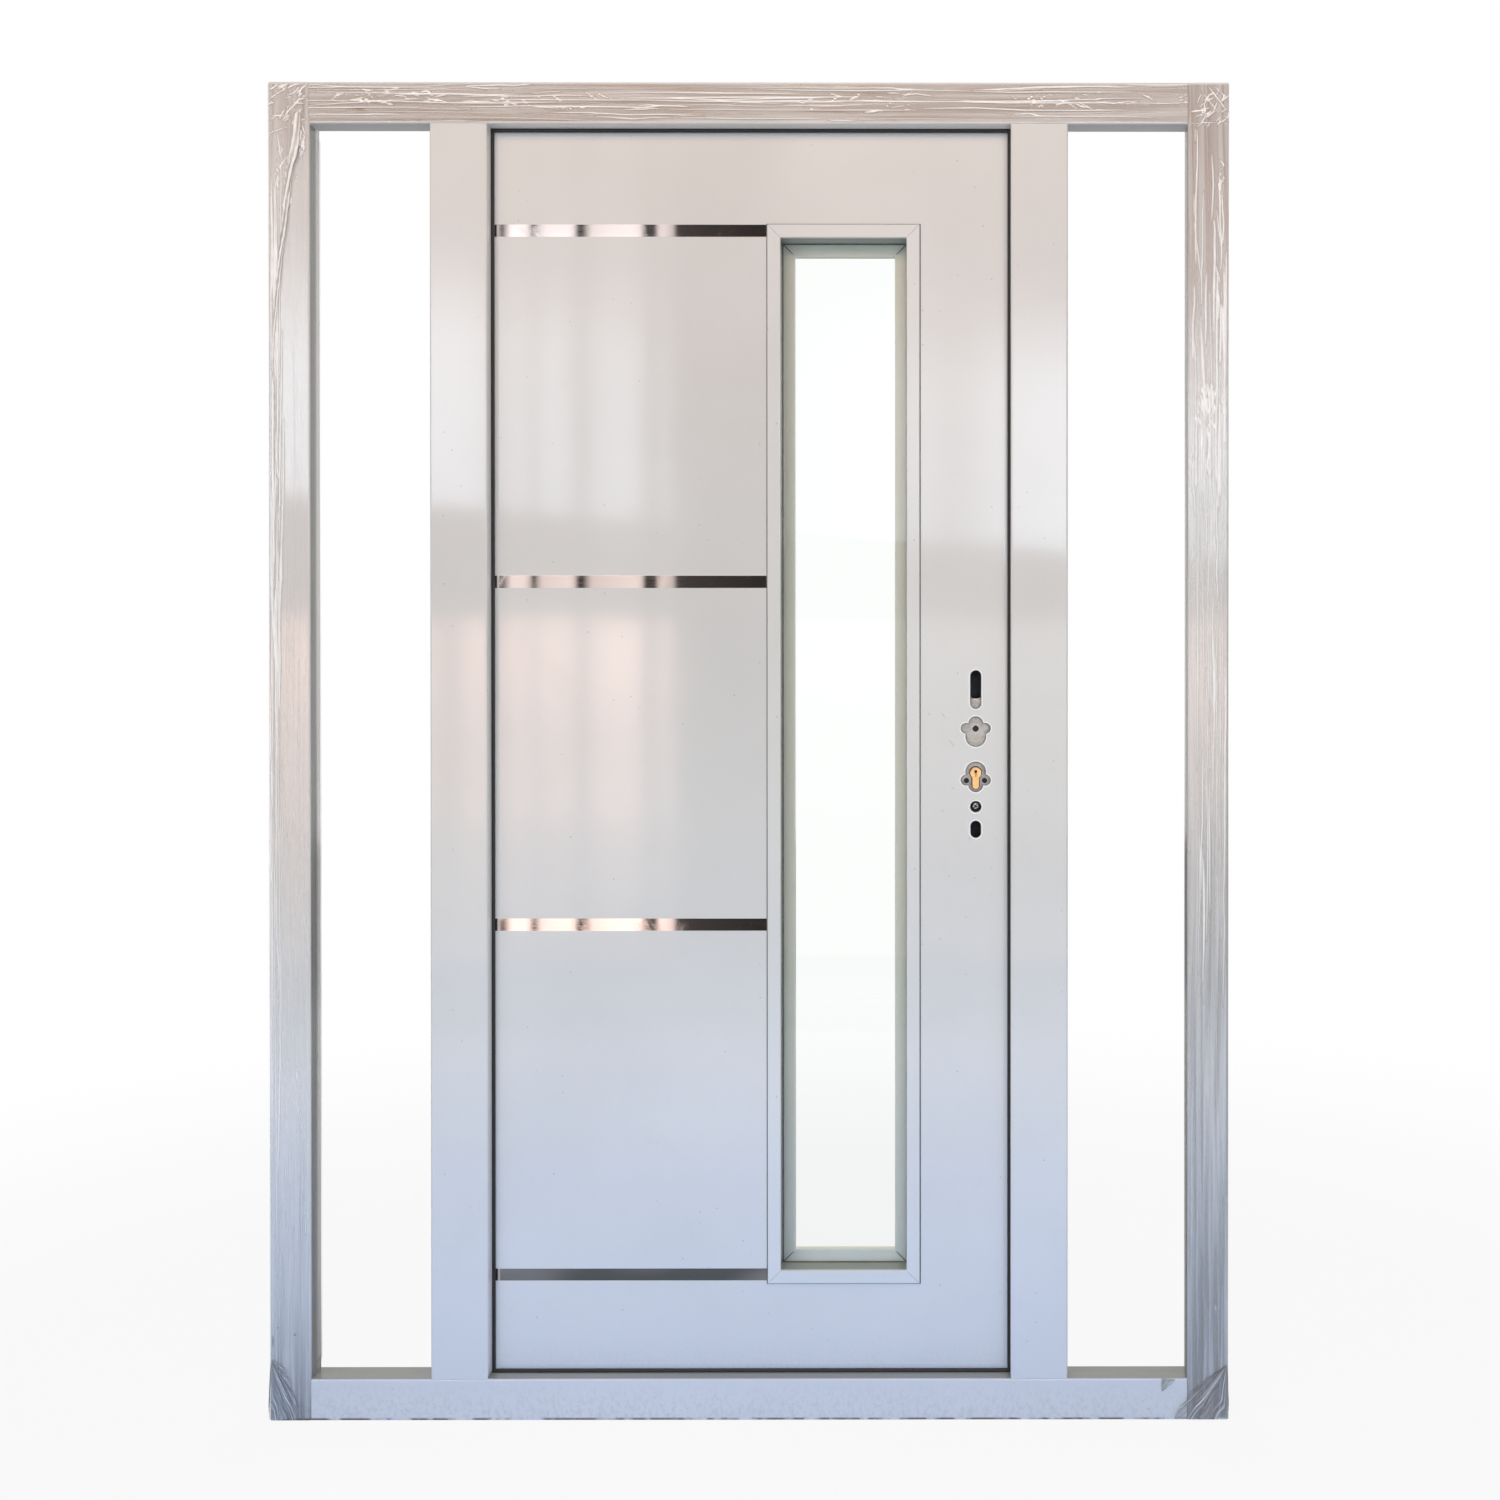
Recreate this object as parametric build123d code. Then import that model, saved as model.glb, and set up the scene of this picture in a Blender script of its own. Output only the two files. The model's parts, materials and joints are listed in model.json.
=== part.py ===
# Steel security door between two open side lights, in millimetres.
# The origin is the middle of the sill's underside, halfway through the frame's depth.
# +X runs to the right seen from outside, +Y goes into the building and +Z is up.
from build123d import *
import os

os.makedirs("parts", exist_ok=True)

# Frame
frame_width = 1470
frame_height = 2050
frame_depth = 80
face_width = 63          # seen width of the jambs, the head and the sill
door_clear = 802         # between the stops either side of the leaf
mullion_width = 87.5
frame_sheet = 1.6
fold_radius = 3
stop_depth = 25          # from the front of the frame to the back of a stop
stop_step = 15           # height of a stop above its rebate
wall_lip = 15            # folded edge on the side that meets the wall
seal_proud = 4           # how far the seal shows past a stop
seal_thickness = 5

# Leaf
leaf_lap = 10            # how far the leaf reaches behind the stops
leaf_thickness = 47
seal_gap = 0.5           # left between the seal and the leaf
skin = 1.5
bevel_width = 20
bevel_depth = 2
stile_width = 40
stile_sheet = 2
swing_axis_back = 12     # hinge axis behind the leaf's rear face
swing_axis_side = 2.5    # hinge axis outside the leaf's edge

# Polished inlays across the leaf
inlay_height = 19
inlay_levels = {"bottom": 212, "lower": 756, "upper": 1288, "top": 1832}
groove_depth = 1.5
inlay_thickness = 0.8

# Glazed slot in the leaf
visor_centre = 143
visor_middle = 1020
visor_width = 236        # over its trim
visor_height = 1642
trim_face = 20.5
trim_proud = 4
liner_depth = 36
glass_thickness = 5
lip_width = 19
trim_sheet = 1.5

# Lock
lock_x = 348
follower_level = 1060
plug_level = 991.5
case_bottom = 922
case_top = 1107
case_back = 32           # from the lock's axis to the back of its case
case_thickness = 22
faceplate_width = 22
faceplate_thickness = 3
big_lobe = 16
side_lobe = 8.3
small_lobe = 11.3
side_lobe_out = 15
side_lobe_rise = 12.7
small_lobe_rise = 20
running_gap = 0.05
plug_radius = 6.5
cylinder_radius = 8.5
cylinder_height = 33
cylinder_proud = 1.5
hub_radius = 8
spindle = 8
fixing_radius = 3.5
fixing_spacing = 28
fixing_level = 979

# Hinges
hinge_levels = {"bottom": 250, "middle": 1025, "top": 1800}
barrel_radius = 8.5
pin_radius = 5
knuckle = 30             # length of each outer knuckle
hinge_height = 120
knuckle_gap = 1
wing_sheet = 3
wing_reach = 42

# Wrapping film
film = 0.5
film_stop = 3            # how far the film stays off the frame's ends

# Places worked out from the sizes
half_width = frame_width / 2
front = -frame_depth / 2
back = frame_depth / 2
stop_back = front + stop_depth
stop_edge = door_clear / 2
rebate_edge = stop_edge + stop_step
mullion_out = stop_edge + mullion_width
rebate_bottom = face_width - stop_step
rebate_top = frame_height - rebate_bottom
leaf_half = stop_edge + leaf_lap
leaf_bottom = face_width - leaf_lap
leaf_top = frame_height - leaf_bottom
leaf_front = stop_back + seal_thickness + seal_gap
leaf_back = leaf_front + leaf_thickness
leaf_height = leaf_top - leaf_bottom
leaf_middle = (leaf_top + leaf_bottom) / 2
swing_x = -leaf_half - swing_axis_side
swing_y = leaf_back + swing_axis_back
visor_left = visor_centre - visor_width / 2
visor_bottom = visor_middle - visor_height / 2
visor_top = visor_middle + visor_height / 2
trim_front = leaf_front - trim_proud
glass_front = trim_front + liner_depth
lip_front = glass_front + glass_thickness
case_front = leaf_front + (leaf_thickness - case_thickness) / 2
case_rear = case_front + case_thickness


def save(name, solid):
    solid.label = name
    export_step(solid, f"parts/{name}.step")


def box(x, y, z):
    """A block given by its low and high ends along each axis."""
    size = [high - low for low, high in (x, y, z)]
    centre = [(low + high) / 2 for low, high in (x, y, z)]
    return Pos(*centre) * Box(*size)


def folded(points, radii, sheet):
    """Section of a folded sheet: its outer line, with the metal on the line's left."""
    outer = [Vector(*point) for point in points]
    runs = [(end - start).normalized() for start, end in zip(outer, outer[1:])]
    normals = [Vector(-run.Y, run.X) for run in runs]
    inner = []
    for number, point in enumerate(outer):
        before = normals[max(number - 1, 0)]
        after = normals[min(number, len(runs) - 1)]
        inner.append(point + (before + after) * (sheet / (1 + before.dot(after))))
    all_radii = [0, *radii, 0] + [0] * len(inner)
    line = FilletPolyline(*outer, *inner[::-1], radius=all_radii, close=True)
    return make_face(line.edges())


def hollow(points, radii, sheet):
    """Section of a closed tube folded from sheet."""
    outside = make_face(FilletPolyline(*points, radius=radii, close=True).edges())
    corners = make_face(Polyline(*points, close=True).edges())
    return outside - offset(corners, amount=-sheet, kind=Kind.INTERSECTION)


def lying(section, left, right, level, facing):
    """A section run across the door, its wall side at the given level, facing up or down."""
    run = extrude(section, right - left)
    if facing == "down":
        return Pos(left, 0, level) * Rot(0, 90, 0) * run
    return Pos(right, 0, level) * Rot(0, -90, 0) * run


# A jamb is one folded channel, open towards the wall, with a stop in front and a rebate behind.
# Each point is the distance from the wall side and the place through the frame's depth.
rebate = face_width - stop_step
jamb_line = [(0, front + wall_lip), (0, front), (face_width, front), (face_width, stop_back),
             (rebate, stop_back), (rebate, back), (0, back), (0, back - wall_lip)]
jamb_section = folded(jamb_line, [fold_radius, fold_radius, fold_radius, 0, fold_radius,
                                  fold_radius], frame_sheet)
left_jamb = Pos(-half_width, 0, 0) * extrude(jamb_section, frame_height)
right_jamb = mirror(left_jamb, about=Plane.YZ)
jamb_inside = half_width - face_width
jamb_rebate = half_width - rebate


# Head, sill and mullions are each two tubes welded back to back: a wide one in front that
# stands past the other as the stop, and a narrower one behind it that makes the rebate.
def tube(low, high, before, behind, corners):
    """Section of a tube from low to high across its width, and from before to behind."""
    line = [(low, before), (high, before), (high, behind), (low, behind)]
    return hollow(line, corners, frame_sheet)


stop_section = tube(0, face_width, front, stop_back, [1, fold_radius, fold_radius, 1])
back_section = tube(0, rebate, stop_back, back, [1, 1, fold_radius, fold_radius])
head = lying(stop_section, -jamb_inside, jamb_inside, frame_height, "down")
head_back = lying(back_section, -jamb_rebate, jamb_rebate, frame_height, "down")
sill = lying(stop_section, -jamb_inside, jamb_inside, 0, "up")
sill_back = lying(back_section, -jamb_rebate, jamb_rebate, 0, "up")

mullion_face = tube(-mullion_out, -stop_edge, front, stop_back, [fold_radius] * 4)
mullion_rear = tube(-mullion_out + stop_step, -rebate_edge, stop_back, back,
                    [1, 1, fold_radius, fold_radius])
left_mullion = Pos(0, 0, face_width) * extrude(mullion_face, frame_height - 2 * face_width)
left_mullion_back = Pos(0, 0, rebate_bottom) * extrude(mullion_rear, rebate_top - rebate_bottom)
right_mullion = mirror(left_mullion, about=Plane.YZ)
right_mullion_back = mirror(left_mullion_back, about=Plane.YZ)

# The strike sits flush in the right mullion's rebate, with pockets for the latch and the bolts.
strike_height = 250
strike_middle = (case_bottom + case_top) / 2
strike_y = (case_front + case_rear) / 2
strike_box = box((rebate_edge, rebate_edge + frame_sheet),
                 (strike_y - faceplate_width / 2, strike_y + faceplate_width / 2),
                 (strike_middle - strike_height / 2, strike_middle + strike_height / 2))
latch_level = follower_level + 30
bolt_level = plug_level - 22
bolt_thickness = 12
bolt_heights = {"latch_bolt": (latch_level, 22), "dead_bolt": (bolt_level, 36)}
pocket_gap = 2
strike_plate = strike_box
for level, tall in bolt_heights.values():
    half = bolt_thickness / 2 + pocket_gap
    reach = tall / 2 + pocket_gap
    strike_plate -= box((rebate_edge, rebate_edge + frame_sheet),
                        (strike_y - half, strike_y + half), (level - reach, level + reach))
right_mullion_back -= strike_box

# The seal is a soft strip on the back of the stops, all the way round the leaf.
seal_outer = stop_edge + leaf_lap - 2
seal_inner = stop_edge - seal_proud
seal_rows = (face_width + seal_proud, frame_height - face_width - seal_proud)
seal_frame = (leaf_bottom + 2, leaf_top - 2)
door_seal = box((-seal_outer, seal_outer), (stop_back, stop_back + seal_thickness), seal_frame)
seal_opening = box((-seal_inner, seal_inner), (stop_back, stop_back + seal_thickness), seal_rows)
door_seal -= seal_opening
seal_edges = [edge for edge in door_seal.edges()
              if abs(edge.center().X) <= seal_inner + 0.01
              and seal_rows[0] - 0.01 <= edge.center().Z <= seal_rows[1] + 0.01
              and abs(edge.center().Y - stop_back - seal_thickness / 2) > 1]
door_seal = fillet(seal_edges, 2)


# Leaf: an outer and an inner skin, with a stile or rail closing the edge between them.
def bevelled(sunk):
    """A block as large as the leaf with a bevel round its front, sunk below the leaf's face."""
    face_y = leaf_front + sunk
    shoulder = face_y + bevel_depth
    tall = (leaf_bottom, leaf_top)
    base = box((-leaf_half, leaf_half), (shoulder, leaf_back), tall)
    upright = {"x_dir": (1, 0, 0), "z_dir": (0, 1, 0)}
    raised = Plane((0, face_y, leaf_middle), **upright)
    edge = Plane((0, shoulder, leaf_middle), **upright)
    inner = raised * Rectangle(2 * (leaf_half - bevel_width), leaf_height - 2 * bevel_width)
    return base + loft([inner, edge * Rectangle(2 * leaf_half, leaf_height)])


outer_skin = bevelled(0) - bevelled(skin)
inner_skin = box((-leaf_half, leaf_half), (leaf_back - skin, leaf_back), (leaf_bottom, leaf_top))

# Grooves for the inlays are pressed into the skin from the hinge edge to the visor's trim.
inlays = {}
trough_depth = bevelled(0) - bevelled(skin + groove_depth)
groove_space = bevelled(0) - bevelled(groove_depth)
inlay_space = bevelled(groove_depth - inlay_thickness) - bevelled(groove_depth)
for name, level in inlay_levels.items():
    low = level - inlay_height / 2
    high = level + inlay_height / 2
    outer_skin += trough_depth & box((-leaf_half, visor_left + skin), (front, back),
                                     (low - skin, high + skin))
    outer_skin -= groove_space & box((-leaf_half, visor_left), (front, back), (low, high))
    inlays[name] = inlay_space & box((-leaf_half, visor_left), (front, back), (low, high))


# Lock cut-outs: a large lobe, a smaller one beyond it and one to each side. The slots and
# the screw hole are in the outer skin only.
def clover(level, up):
    turn = 1 if up else -1
    shape = Circle(big_lobe) + Pos(0, turn * small_lobe_rise) * Circle(small_lobe)
    for side in (-side_lobe_out, side_lobe_out):
        shape += Pos(side, turn * side_lobe_rise) * Circle(side_lobe)
    return Pos(lock_x, level) * shape


upper_clover_level = 1048
lower_clover_level = 993
long_slot = (17.5, 60, 1121)
short_slot = (17, 27, 904)
screw_hole = (9, 939)
clovers = clover(upper_clover_level, True) + clover(lower_clover_level, False)
outer_cutouts = clovers + Pos(lock_x, screw_hole[1]) * Circle(screw_hole[0])
for wide, tall, level in (long_slot, short_slot):
    outer_cutouts += Pos(lock_x, level) * RectangleRounded(wide, tall, wide / 2 - 0.1)
before_leaf = Plane((0, leaf_front - 2, 0), x_dir=(1, 0, 0), z_dir=(0, -1, 0))
through_leaf = -leaf_thickness - 4
pane_inset = trim_face - trim_sheet
visor_right = visor_left + visor_width
visor_hole = box((visor_left + pane_inset, visor_right - pane_inset), (leaf_front - 1, leaf_back + 1),
                 (visor_bottom + pane_inset, visor_top - pane_inset))
outer_skin = outer_skin - extrude(before_leaf * outer_cutouts, through_leaf) - visor_hole
inner_skin = inner_skin - extrude(before_leaf * clovers, through_leaf) - visor_hole

# Stiles and rails are channels with their webs on the leaf's edge.
channel_front = leaf_front + bevel_depth + skin
channel_back = leaf_back - skin


def channel(width):
    """Channel section, its web at zero and its flanges against the two skins."""
    line = [(width, channel_back), (0, channel_back), (0, channel_front), (width, channel_front)]
    return folded(line, [1, 1], stile_sheet)


stile_section = channel(stile_width)
hinge_stile = Pos(-leaf_half, 0, leaf_bottom) * extrude(stile_section, leaf_height)
lock_stile = mirror(hinge_stile, about=Plane.YZ)
for level in inlay_levels.values():
    reach = inlay_height / 2 + skin
    hinge_stile -= box((-leaf_half, -leaf_half + stile_width),
                       (channel_front, channel_front + groove_depth), (level - reach, level + reach))
rail_end = leaf_half - stile_width
top_rail = lying(stile_section, -rail_end, rail_end, leaf_top, "down")
bottom_rail = lying(stile_section, -rail_end, rail_end, leaf_bottom, "up")

# Lock case with its faceplate on the leaf's edge.
case_end = leaf_half - faceplate_thickness
lock_case = box((lock_x - case_back, case_end), (case_front, case_rear), (case_bottom, case_top))
case_edges = [edge for edge in lock_case.edges().filter_by(Axis.Y)
              if edge.center().X < lock_x]
lock_case = fillet(case_edges, 3)
faceplate = box((case_end, case_end + faceplate_thickness),
                (strike_y - faceplate_width / 2, strike_y + faceplate_width / 2),
                (case_bottom - 12, case_top + 12))
lock_stile -= box((leaf_half - stile_width, leaf_half), (case_front, case_rear),
                  (case_bottom, case_top))
lock_stile -= faceplate

# Latch and bolt drawn back flush with the faceplate.
bolt_run = 20 + faceplate_thickness
drawn_back = {}
for name, (level, tall) in bolt_heights.items():
    bar = box((leaf_half - bolt_run, leaf_half),
              (strike_y - bolt_thickness / 2, strike_y + bolt_thickness / 2),
              (level - tall / 2, level + tall / 2))
    drawn_back[name] = bar
    lock_case -= bar
    faceplate -= bar


# Cylinder: a round barrel over a narrow foot, with a turning plug.
def along_y(shape, low, high, x=lock_x, z=0):
    """A flat shape run through the leaf from one depth to another."""
    return extrude(Plane((x, low, z), x_dir=(1, 0, 0), z_dir=(0, -1, 0)) * shape, low - high)


cylinder_front = leaf_front - cylinder_proud
cylinder_back = leaf_back + cylinder_proud
foot_width = 10
foot_drop = cylinder_height - cylinder_radius - foot_width / 2
profile = Circle(cylinder_radius) + Pos(0, -foot_drop / 2) * Rectangle(foot_width, foot_drop)
profile += Pos(0, -foot_drop) * Circle(foot_width / 2)
cylinder_hole = along_y(profile, cylinder_front, cylinder_back, z=plug_level)
plug_bore = along_y(Circle(plug_radius + running_gap), cylinder_front - 1, cylinder_back + 1,
                    z=plug_level)
cylinder_body = cylinder_hole - plug_bore
cylinder_plug = along_y(Circle(plug_radius), cylinder_front, cylinder_back, z=plug_level)
keyway = Pos(0, -1) * Rectangle(2.4, 9)
cylinder_plug -= along_y(keyway, cylinder_front - 1, cylinder_front + 12, z=plug_level)
cylinder_plug -= along_y(keyway, cylinder_back - 12, cylinder_back + 1, z=plug_level)
lock_case -= cylinder_hole
lock_case -= plug_bore

# Follower: the sprung hub that takes the handles' square bar.
hub_front = case_front - 1
hub_back = case_rear + 1
follower_hub = along_y(Circle(hub_radius) - Rectangle(spindle, spindle), hub_front, hub_back,
                       z=follower_level)
lock_case -= along_y(Circle(hub_radius + running_gap), case_front - 1, case_rear + 1,
                     z=follower_level)
for side in (-fixing_spacing / 2, fixing_spacing / 2):
    lock_case -= along_y(Circle(fixing_radius), case_front - 1, case_rear + 1, x=lock_x + side,
                         z=fixing_level)


# Visor: mitred trim outside and inside with the glass held between them.
def mitred(section):
    """Four runs of one section round the visor, cut at 45 degrees where they meet."""
    half = visor_width / 2
    upper_mitre = (visor_centre, visor_top - half)
    lower_mitre = (visor_centre, visor_bottom + half)
    corners = {
        "left": [(visor_left, visor_bottom), (visor_left, visor_top), upper_mitre, lower_mitre],
        "right": [(visor_right, visor_bottom), (visor_right, visor_top), upper_mitre, lower_mitre],
        "bottom": [(visor_left, visor_bottom), (visor_right, visor_bottom), lower_mitre],
        "top": [(visor_left, visor_top), (visor_right, visor_top), upper_mitre]}
    tall = extrude(section, visor_height)
    wide = extrude(section, visor_width)
    runs = {"left": Pos(visor_left, 0, visor_bottom) * tall}
    runs["right"] = mirror(runs["left"], about=Plane.YZ.offset(visor_centre))
    runs["bottom"] = Pos(visor_right, 0, visor_bottom) * Rot(0, -90, 0) * wide
    runs["top"] = Pos(visor_left, 0, visor_top) * Rot(0, 90, 0) * wide
    upright = Plane((0, front, 0), x_dir=(1, 0, 0), z_dir=(0, -1, 0))
    pieces = {}
    for side, points in corners.items():
        keep = extrude(upright * make_face(Polyline(*points, close=True).edges()), -3 * frame_depth)
        pieces[side] = runs[side] & keep
    return pieces


liner_line = [(0, leaf_front), (0, trim_front), (trim_face, trim_front), (trim_face, glass_front)]
liner_section = folded(liner_line, [1.5, 2], trim_sheet)
visor_trim = mitred(liner_section)
lip_edge = trim_face + lip_width
lip_line = [(0, leaf_back), (0, leaf_back + trim_proud), (lip_edge, leaf_back + trim_proud),
            (lip_edge, lip_front), (trim_face - trim_sheet, lip_front)]
back_section = folded(lip_line[::-1], [1.5, 2, 1.5], trim_sheet)
visor_back = mitred(back_section)
visor_glass = box((visor_left + pane_inset, visor_right - pane_inset), (glass_front, lip_front),
                  (visor_bottom + pane_inset, visor_top - pane_inset))


# Hinges: two knuckles and the pin on the frame, one knuckle on the leaf.
def hinge(level):
    low = level - hinge_height / 2
    high = level + hinge_height / 2
    inner_low = low + knuckle + knuckle_gap
    inner_high = high - knuckle - knuckle_gap
    barrel = Pos(swing_x, swing_y) * Circle(barrel_radius)
    fixed_wing = make_face(Polyline(
        (-rebate_edge, back), (-rebate_edge - wing_reach, back),
        (-rebate_edge - wing_reach, back + wing_sheet),
        (swing_x - barrel_radius - 2, back + wing_sheet), (swing_x - barrel_radius, swing_y),
        (swing_x, swing_y), (swing_x, back + 2), (-rebate_edge, back + 2), close=True).edges())
    plate = make_face(Polyline(
        (swing_x - barrel_radius - 2, back), (-rebate_edge - wing_reach, back),
        (-rebate_edge - wing_reach, back + wing_sheet),
        (swing_x - barrel_radius - 2, back + wing_sheet), close=True).edges())
    knuckle_face = barrel + fixed_wing
    fixed = Pos(0, 0, low) * extrude(knuckle_face, knuckle)
    fixed += Pos(0, 0, high - knuckle) * extrude(knuckle_face, knuckle)
    fixed += Pos(0, 0, low) * extrude(plate, hinge_height)
    fixed += Pos(swing_x, swing_y, level) * Cylinder(pin_radius, hinge_height)
    moving_wing = make_face(Polyline(
        (-leaf_half, leaf_back), (-leaf_half + wing_reach, leaf_back),
        (-leaf_half + wing_reach, leaf_back + wing_sheet),
        (swing_x + barrel_radius + 2, leaf_back + wing_sheet), (swing_x + barrel_radius, swing_y),
        (swing_x, swing_y), (swing_x, back + 2), (-leaf_half, back + 2), close=True).edges())
    moving = Pos(0, 0, inner_low) * extrude(barrel + moving_wing, inner_high - inner_low)
    moving -= Pos(swing_x, swing_y, level) * Cylinder(pin_radius + running_gap, hinge_height)
    return fixed, moving


# Film: wrapped round each jamb from one wall edge to the other, and stretched over the head.
# It bridges the rebate from the back of the stop to the back of the frame.
film_line = [(0, back), (rebate, back), (face_width, stop_back), (face_width, front), (0, front)]
film_section = folded(film_line[::-1], [2, 2, 2], -film)
film_left = Pos(-half_width, 0, film_stop) * extrude(film_section, frame_height - 2 * film_stop)
for before, behind in (((0, face_width), (0, rebate_bottom)),
                       ((frame_height - face_width, frame_height), (rebate_top, frame_height))):
    film_left -= box((-jamb_inside, 0), (front - film, stop_back), before)
    film_left -= box((-jamb_rebate, 0), (stop_back, back), behind)
film_right = mirror(film_left, about=Plane.YZ)
film_head = box((-jamb_inside, jamb_inside), (front - film, front),
                (frame_height - face_width + film_stop, frame_height - film_stop))

nodes = {
    "left_jamb": left_jamb, "right_jamb": right_jamb, "head": head, "head_back": head_back,
    "sill": sill, "sill_back": sill_back, "left_mullion": left_mullion,
    "left_mullion_back": left_mullion_back, "right_mullion": right_mullion,
    "right_mullion_back": right_mullion_back, "strike_plate": strike_plate,
    "door_seal": door_seal, "leaf_outer_skin": outer_skin, "leaf_inner_skin": inner_skin,
    "hinge_stile": hinge_stile, "lock_stile": lock_stile, "leaf_top_rail": top_rail,
    "leaf_bottom_rail": bottom_rail, "lock_case": lock_case, "lock_faceplate": faceplate,
    "cylinder_body": cylinder_body, "cylinder_plug": cylinder_plug,
    "follower_hub": follower_hub, "visor_glass": visor_glass,
    "film_left": film_left, "film_right": film_right, "film_head": film_head,
}
nodes.update(drawn_back)
for name, strip in inlays.items():
    nodes[f"{name}_inlay"] = strip
for side, piece in visor_trim.items():
    nodes[f"visor_trim_{side}"] = piece
for side, piece in visor_back.items():
    nodes[f"visor_back_{side}"] = piece
for name, level in hinge_levels.items():
    nodes[f"frame_hinge_{name}"], nodes[f"leaf_hinge_{name}"] = hinge(level)
for name, solid in nodes.items():
    save(name, solid)
    print(name, round(solid.volume), len(solid.solids()))
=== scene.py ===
import bmesh
import bpy
import json
import math
import numpy as np
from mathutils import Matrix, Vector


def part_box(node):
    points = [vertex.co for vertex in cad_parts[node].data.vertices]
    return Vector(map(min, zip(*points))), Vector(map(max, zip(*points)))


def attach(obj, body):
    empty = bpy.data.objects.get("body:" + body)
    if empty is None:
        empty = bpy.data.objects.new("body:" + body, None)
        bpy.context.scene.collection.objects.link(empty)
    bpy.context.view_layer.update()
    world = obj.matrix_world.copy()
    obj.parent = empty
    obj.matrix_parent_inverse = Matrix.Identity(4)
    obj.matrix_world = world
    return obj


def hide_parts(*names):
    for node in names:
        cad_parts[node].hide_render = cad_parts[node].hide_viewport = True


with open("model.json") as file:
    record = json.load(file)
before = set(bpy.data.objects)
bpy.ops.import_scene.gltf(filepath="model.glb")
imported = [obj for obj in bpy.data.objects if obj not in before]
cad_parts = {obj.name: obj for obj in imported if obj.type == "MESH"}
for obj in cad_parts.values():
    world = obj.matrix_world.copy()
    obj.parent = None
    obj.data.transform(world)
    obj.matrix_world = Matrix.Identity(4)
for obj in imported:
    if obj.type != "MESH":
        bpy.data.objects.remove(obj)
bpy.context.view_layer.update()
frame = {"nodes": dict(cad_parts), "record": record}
nodes = frame["nodes"]
scene = bpy.context.scene
scene.view_settings.view_transform = "Standard"
print("frame loaded,", len(nodes), "nodes")


# Small helpers for meshes and shader trees.

# A grid of points (rows, columns, 3), or several alike, becomes quads. keep is a mask of the
# quads that stay, facing is the side that an open sheet shows, and weld closes a pole where a
# whole row is one point.
def gridMesh(name, points, uv=None, values=None, keep=None, joinRows=False, joinColumns=False,
             facing=None, weld=False):
    copies = points.reshape(-1, *points.shape[-3:])
    rows, columns = copies.shape[1:3]
    down = np.arange(rows if joinRows else rows - 1)
    along = np.arange(columns if joinColumns else columns - 1)
    a, b = np.meshgrid(down, along, indexing="ij")
    c, d = (a + 1) % rows, (b + 1) % columns
    quads = np.stack([a * columns + b, c * columns + b, c * columns + d, a * columns + d], -1)
    quads = quads.reshape(-1, 4) if keep is None else quads[keep]
    quads = (quads + rows * columns * np.arange(len(copies))[:, None, None]).reshape(-1, 4)
    if facing is not None:
        spots = points.reshape(-1, 3)[quads]
        turned = np.cross(spots[:, 2] - spots[:, 0], spots[:, 3] - spots[:, 1]).sum(0) @ np.array(facing)
        quads = quads if turned > 0 else quads[:, ::-1]
    used, quads = np.unique(quads, return_inverse=True)
    quads = quads.reshape(-1, 4)
    mesh = bpy.data.meshes.new(name)
    mesh.from_pydata(points.reshape(-1, 3)[used], [], quads)
    mesh.polygons.foreach_set("use_smooth", np.ones(len(quads), bool))
    if uv is not None:
        layer = mesh.uv_layers.new(name="flow")
        layer.data.foreach_set("uv", uv.reshape(-1, 2)[used][quads.ravel()].astype(np.float32).ravel())
    for title, field in (values or {}).items():
        attribute = mesh.attributes.new(title, "FLOAT", "POINT")
        attribute.data.foreach_set("value", field.reshape(-1)[used].astype(np.float32))
    mesh.update()
    if weld:
        work = bmesh.new()
        work.from_mesh(mesh)
        bmesh.ops.remove_doubles(work, verts=work.verts, dist=1e-6)
        work.to_mesh(mesh)
        work.free()
    return mesh


# Puts a mesh in the scene; a piece of the door also gets its body and its finish's slot.
def place(name, mesh, material, body=None):
    thing = bpy.data.objects.new(name, mesh)
    thing.data.materials.append(material)
    scene.collection.objects.link(thing)
    if body:
        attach(thing, body)
    return thing


# Places a closed piece: a bead that closes both ways, or domes whose end rows are poles.
def placeClosed(name, points, material, body, ring=False):
    mesh = gridMesh(name, points, joinRows=ring, joinColumns=True, weld=not ring)
    return place(name, mesh, material, body)


# A shader node with its settings; a socket given as a value is a link.
def put(tree, kind, sockets=None, **settings):
    node = tree.nodes.new("ShaderNode" + kind)
    for name, value in settings.items():
        setattr(node, name, value)
    for name, value in (sockets or {}).items():
        if isinstance(value, bpy.types.NodeSocket):
            tree.links.new(value, node.inputs[name])
        else:
            node.inputs[name].default_value = value
    return node


# The helpers below find the tree to add to by the first socket that they are given.
def treeOf(*values):
    return next(value.id_data for value in values if isinstance(value, bpy.types.NodeSocket))


def calc(operation, first, second=0.0, clamp=False):
    return put(treeOf(first, second), "Math", {0: first, 1: second}, operation=operation,
               use_clamp=clamp).outputs[0]


def times(first, second):
    return calc("MULTIPLY", first, second)


def plus(first, second, clamp=False):
    return calc("ADD", first, second, clamp)


# Carries a value from one range to another with a smooth or straight ramp.
def spread(value, low, high, toLow=0.0, toHigh=1.0, smooth=True):
    style = "SMOOTHSTEP" if smooth else "LINEAR"
    return put(treeOf(value), "MapRange", {0: value, 1: low, 2: high, 3: toLow, 4: toHigh},
               interpolation_type=style).outputs[0]


def noise(vector, scale, detail=2.0, roughness=0.5, distortion=0.0):
    sockets = {"Vector": vector, "Scale": scale, "Detail": detail, "Roughness": roughness,
               "Distortion": distortion}
    return put(treeOf(vector), "TexNoise", sockets).outputs[0]


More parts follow.
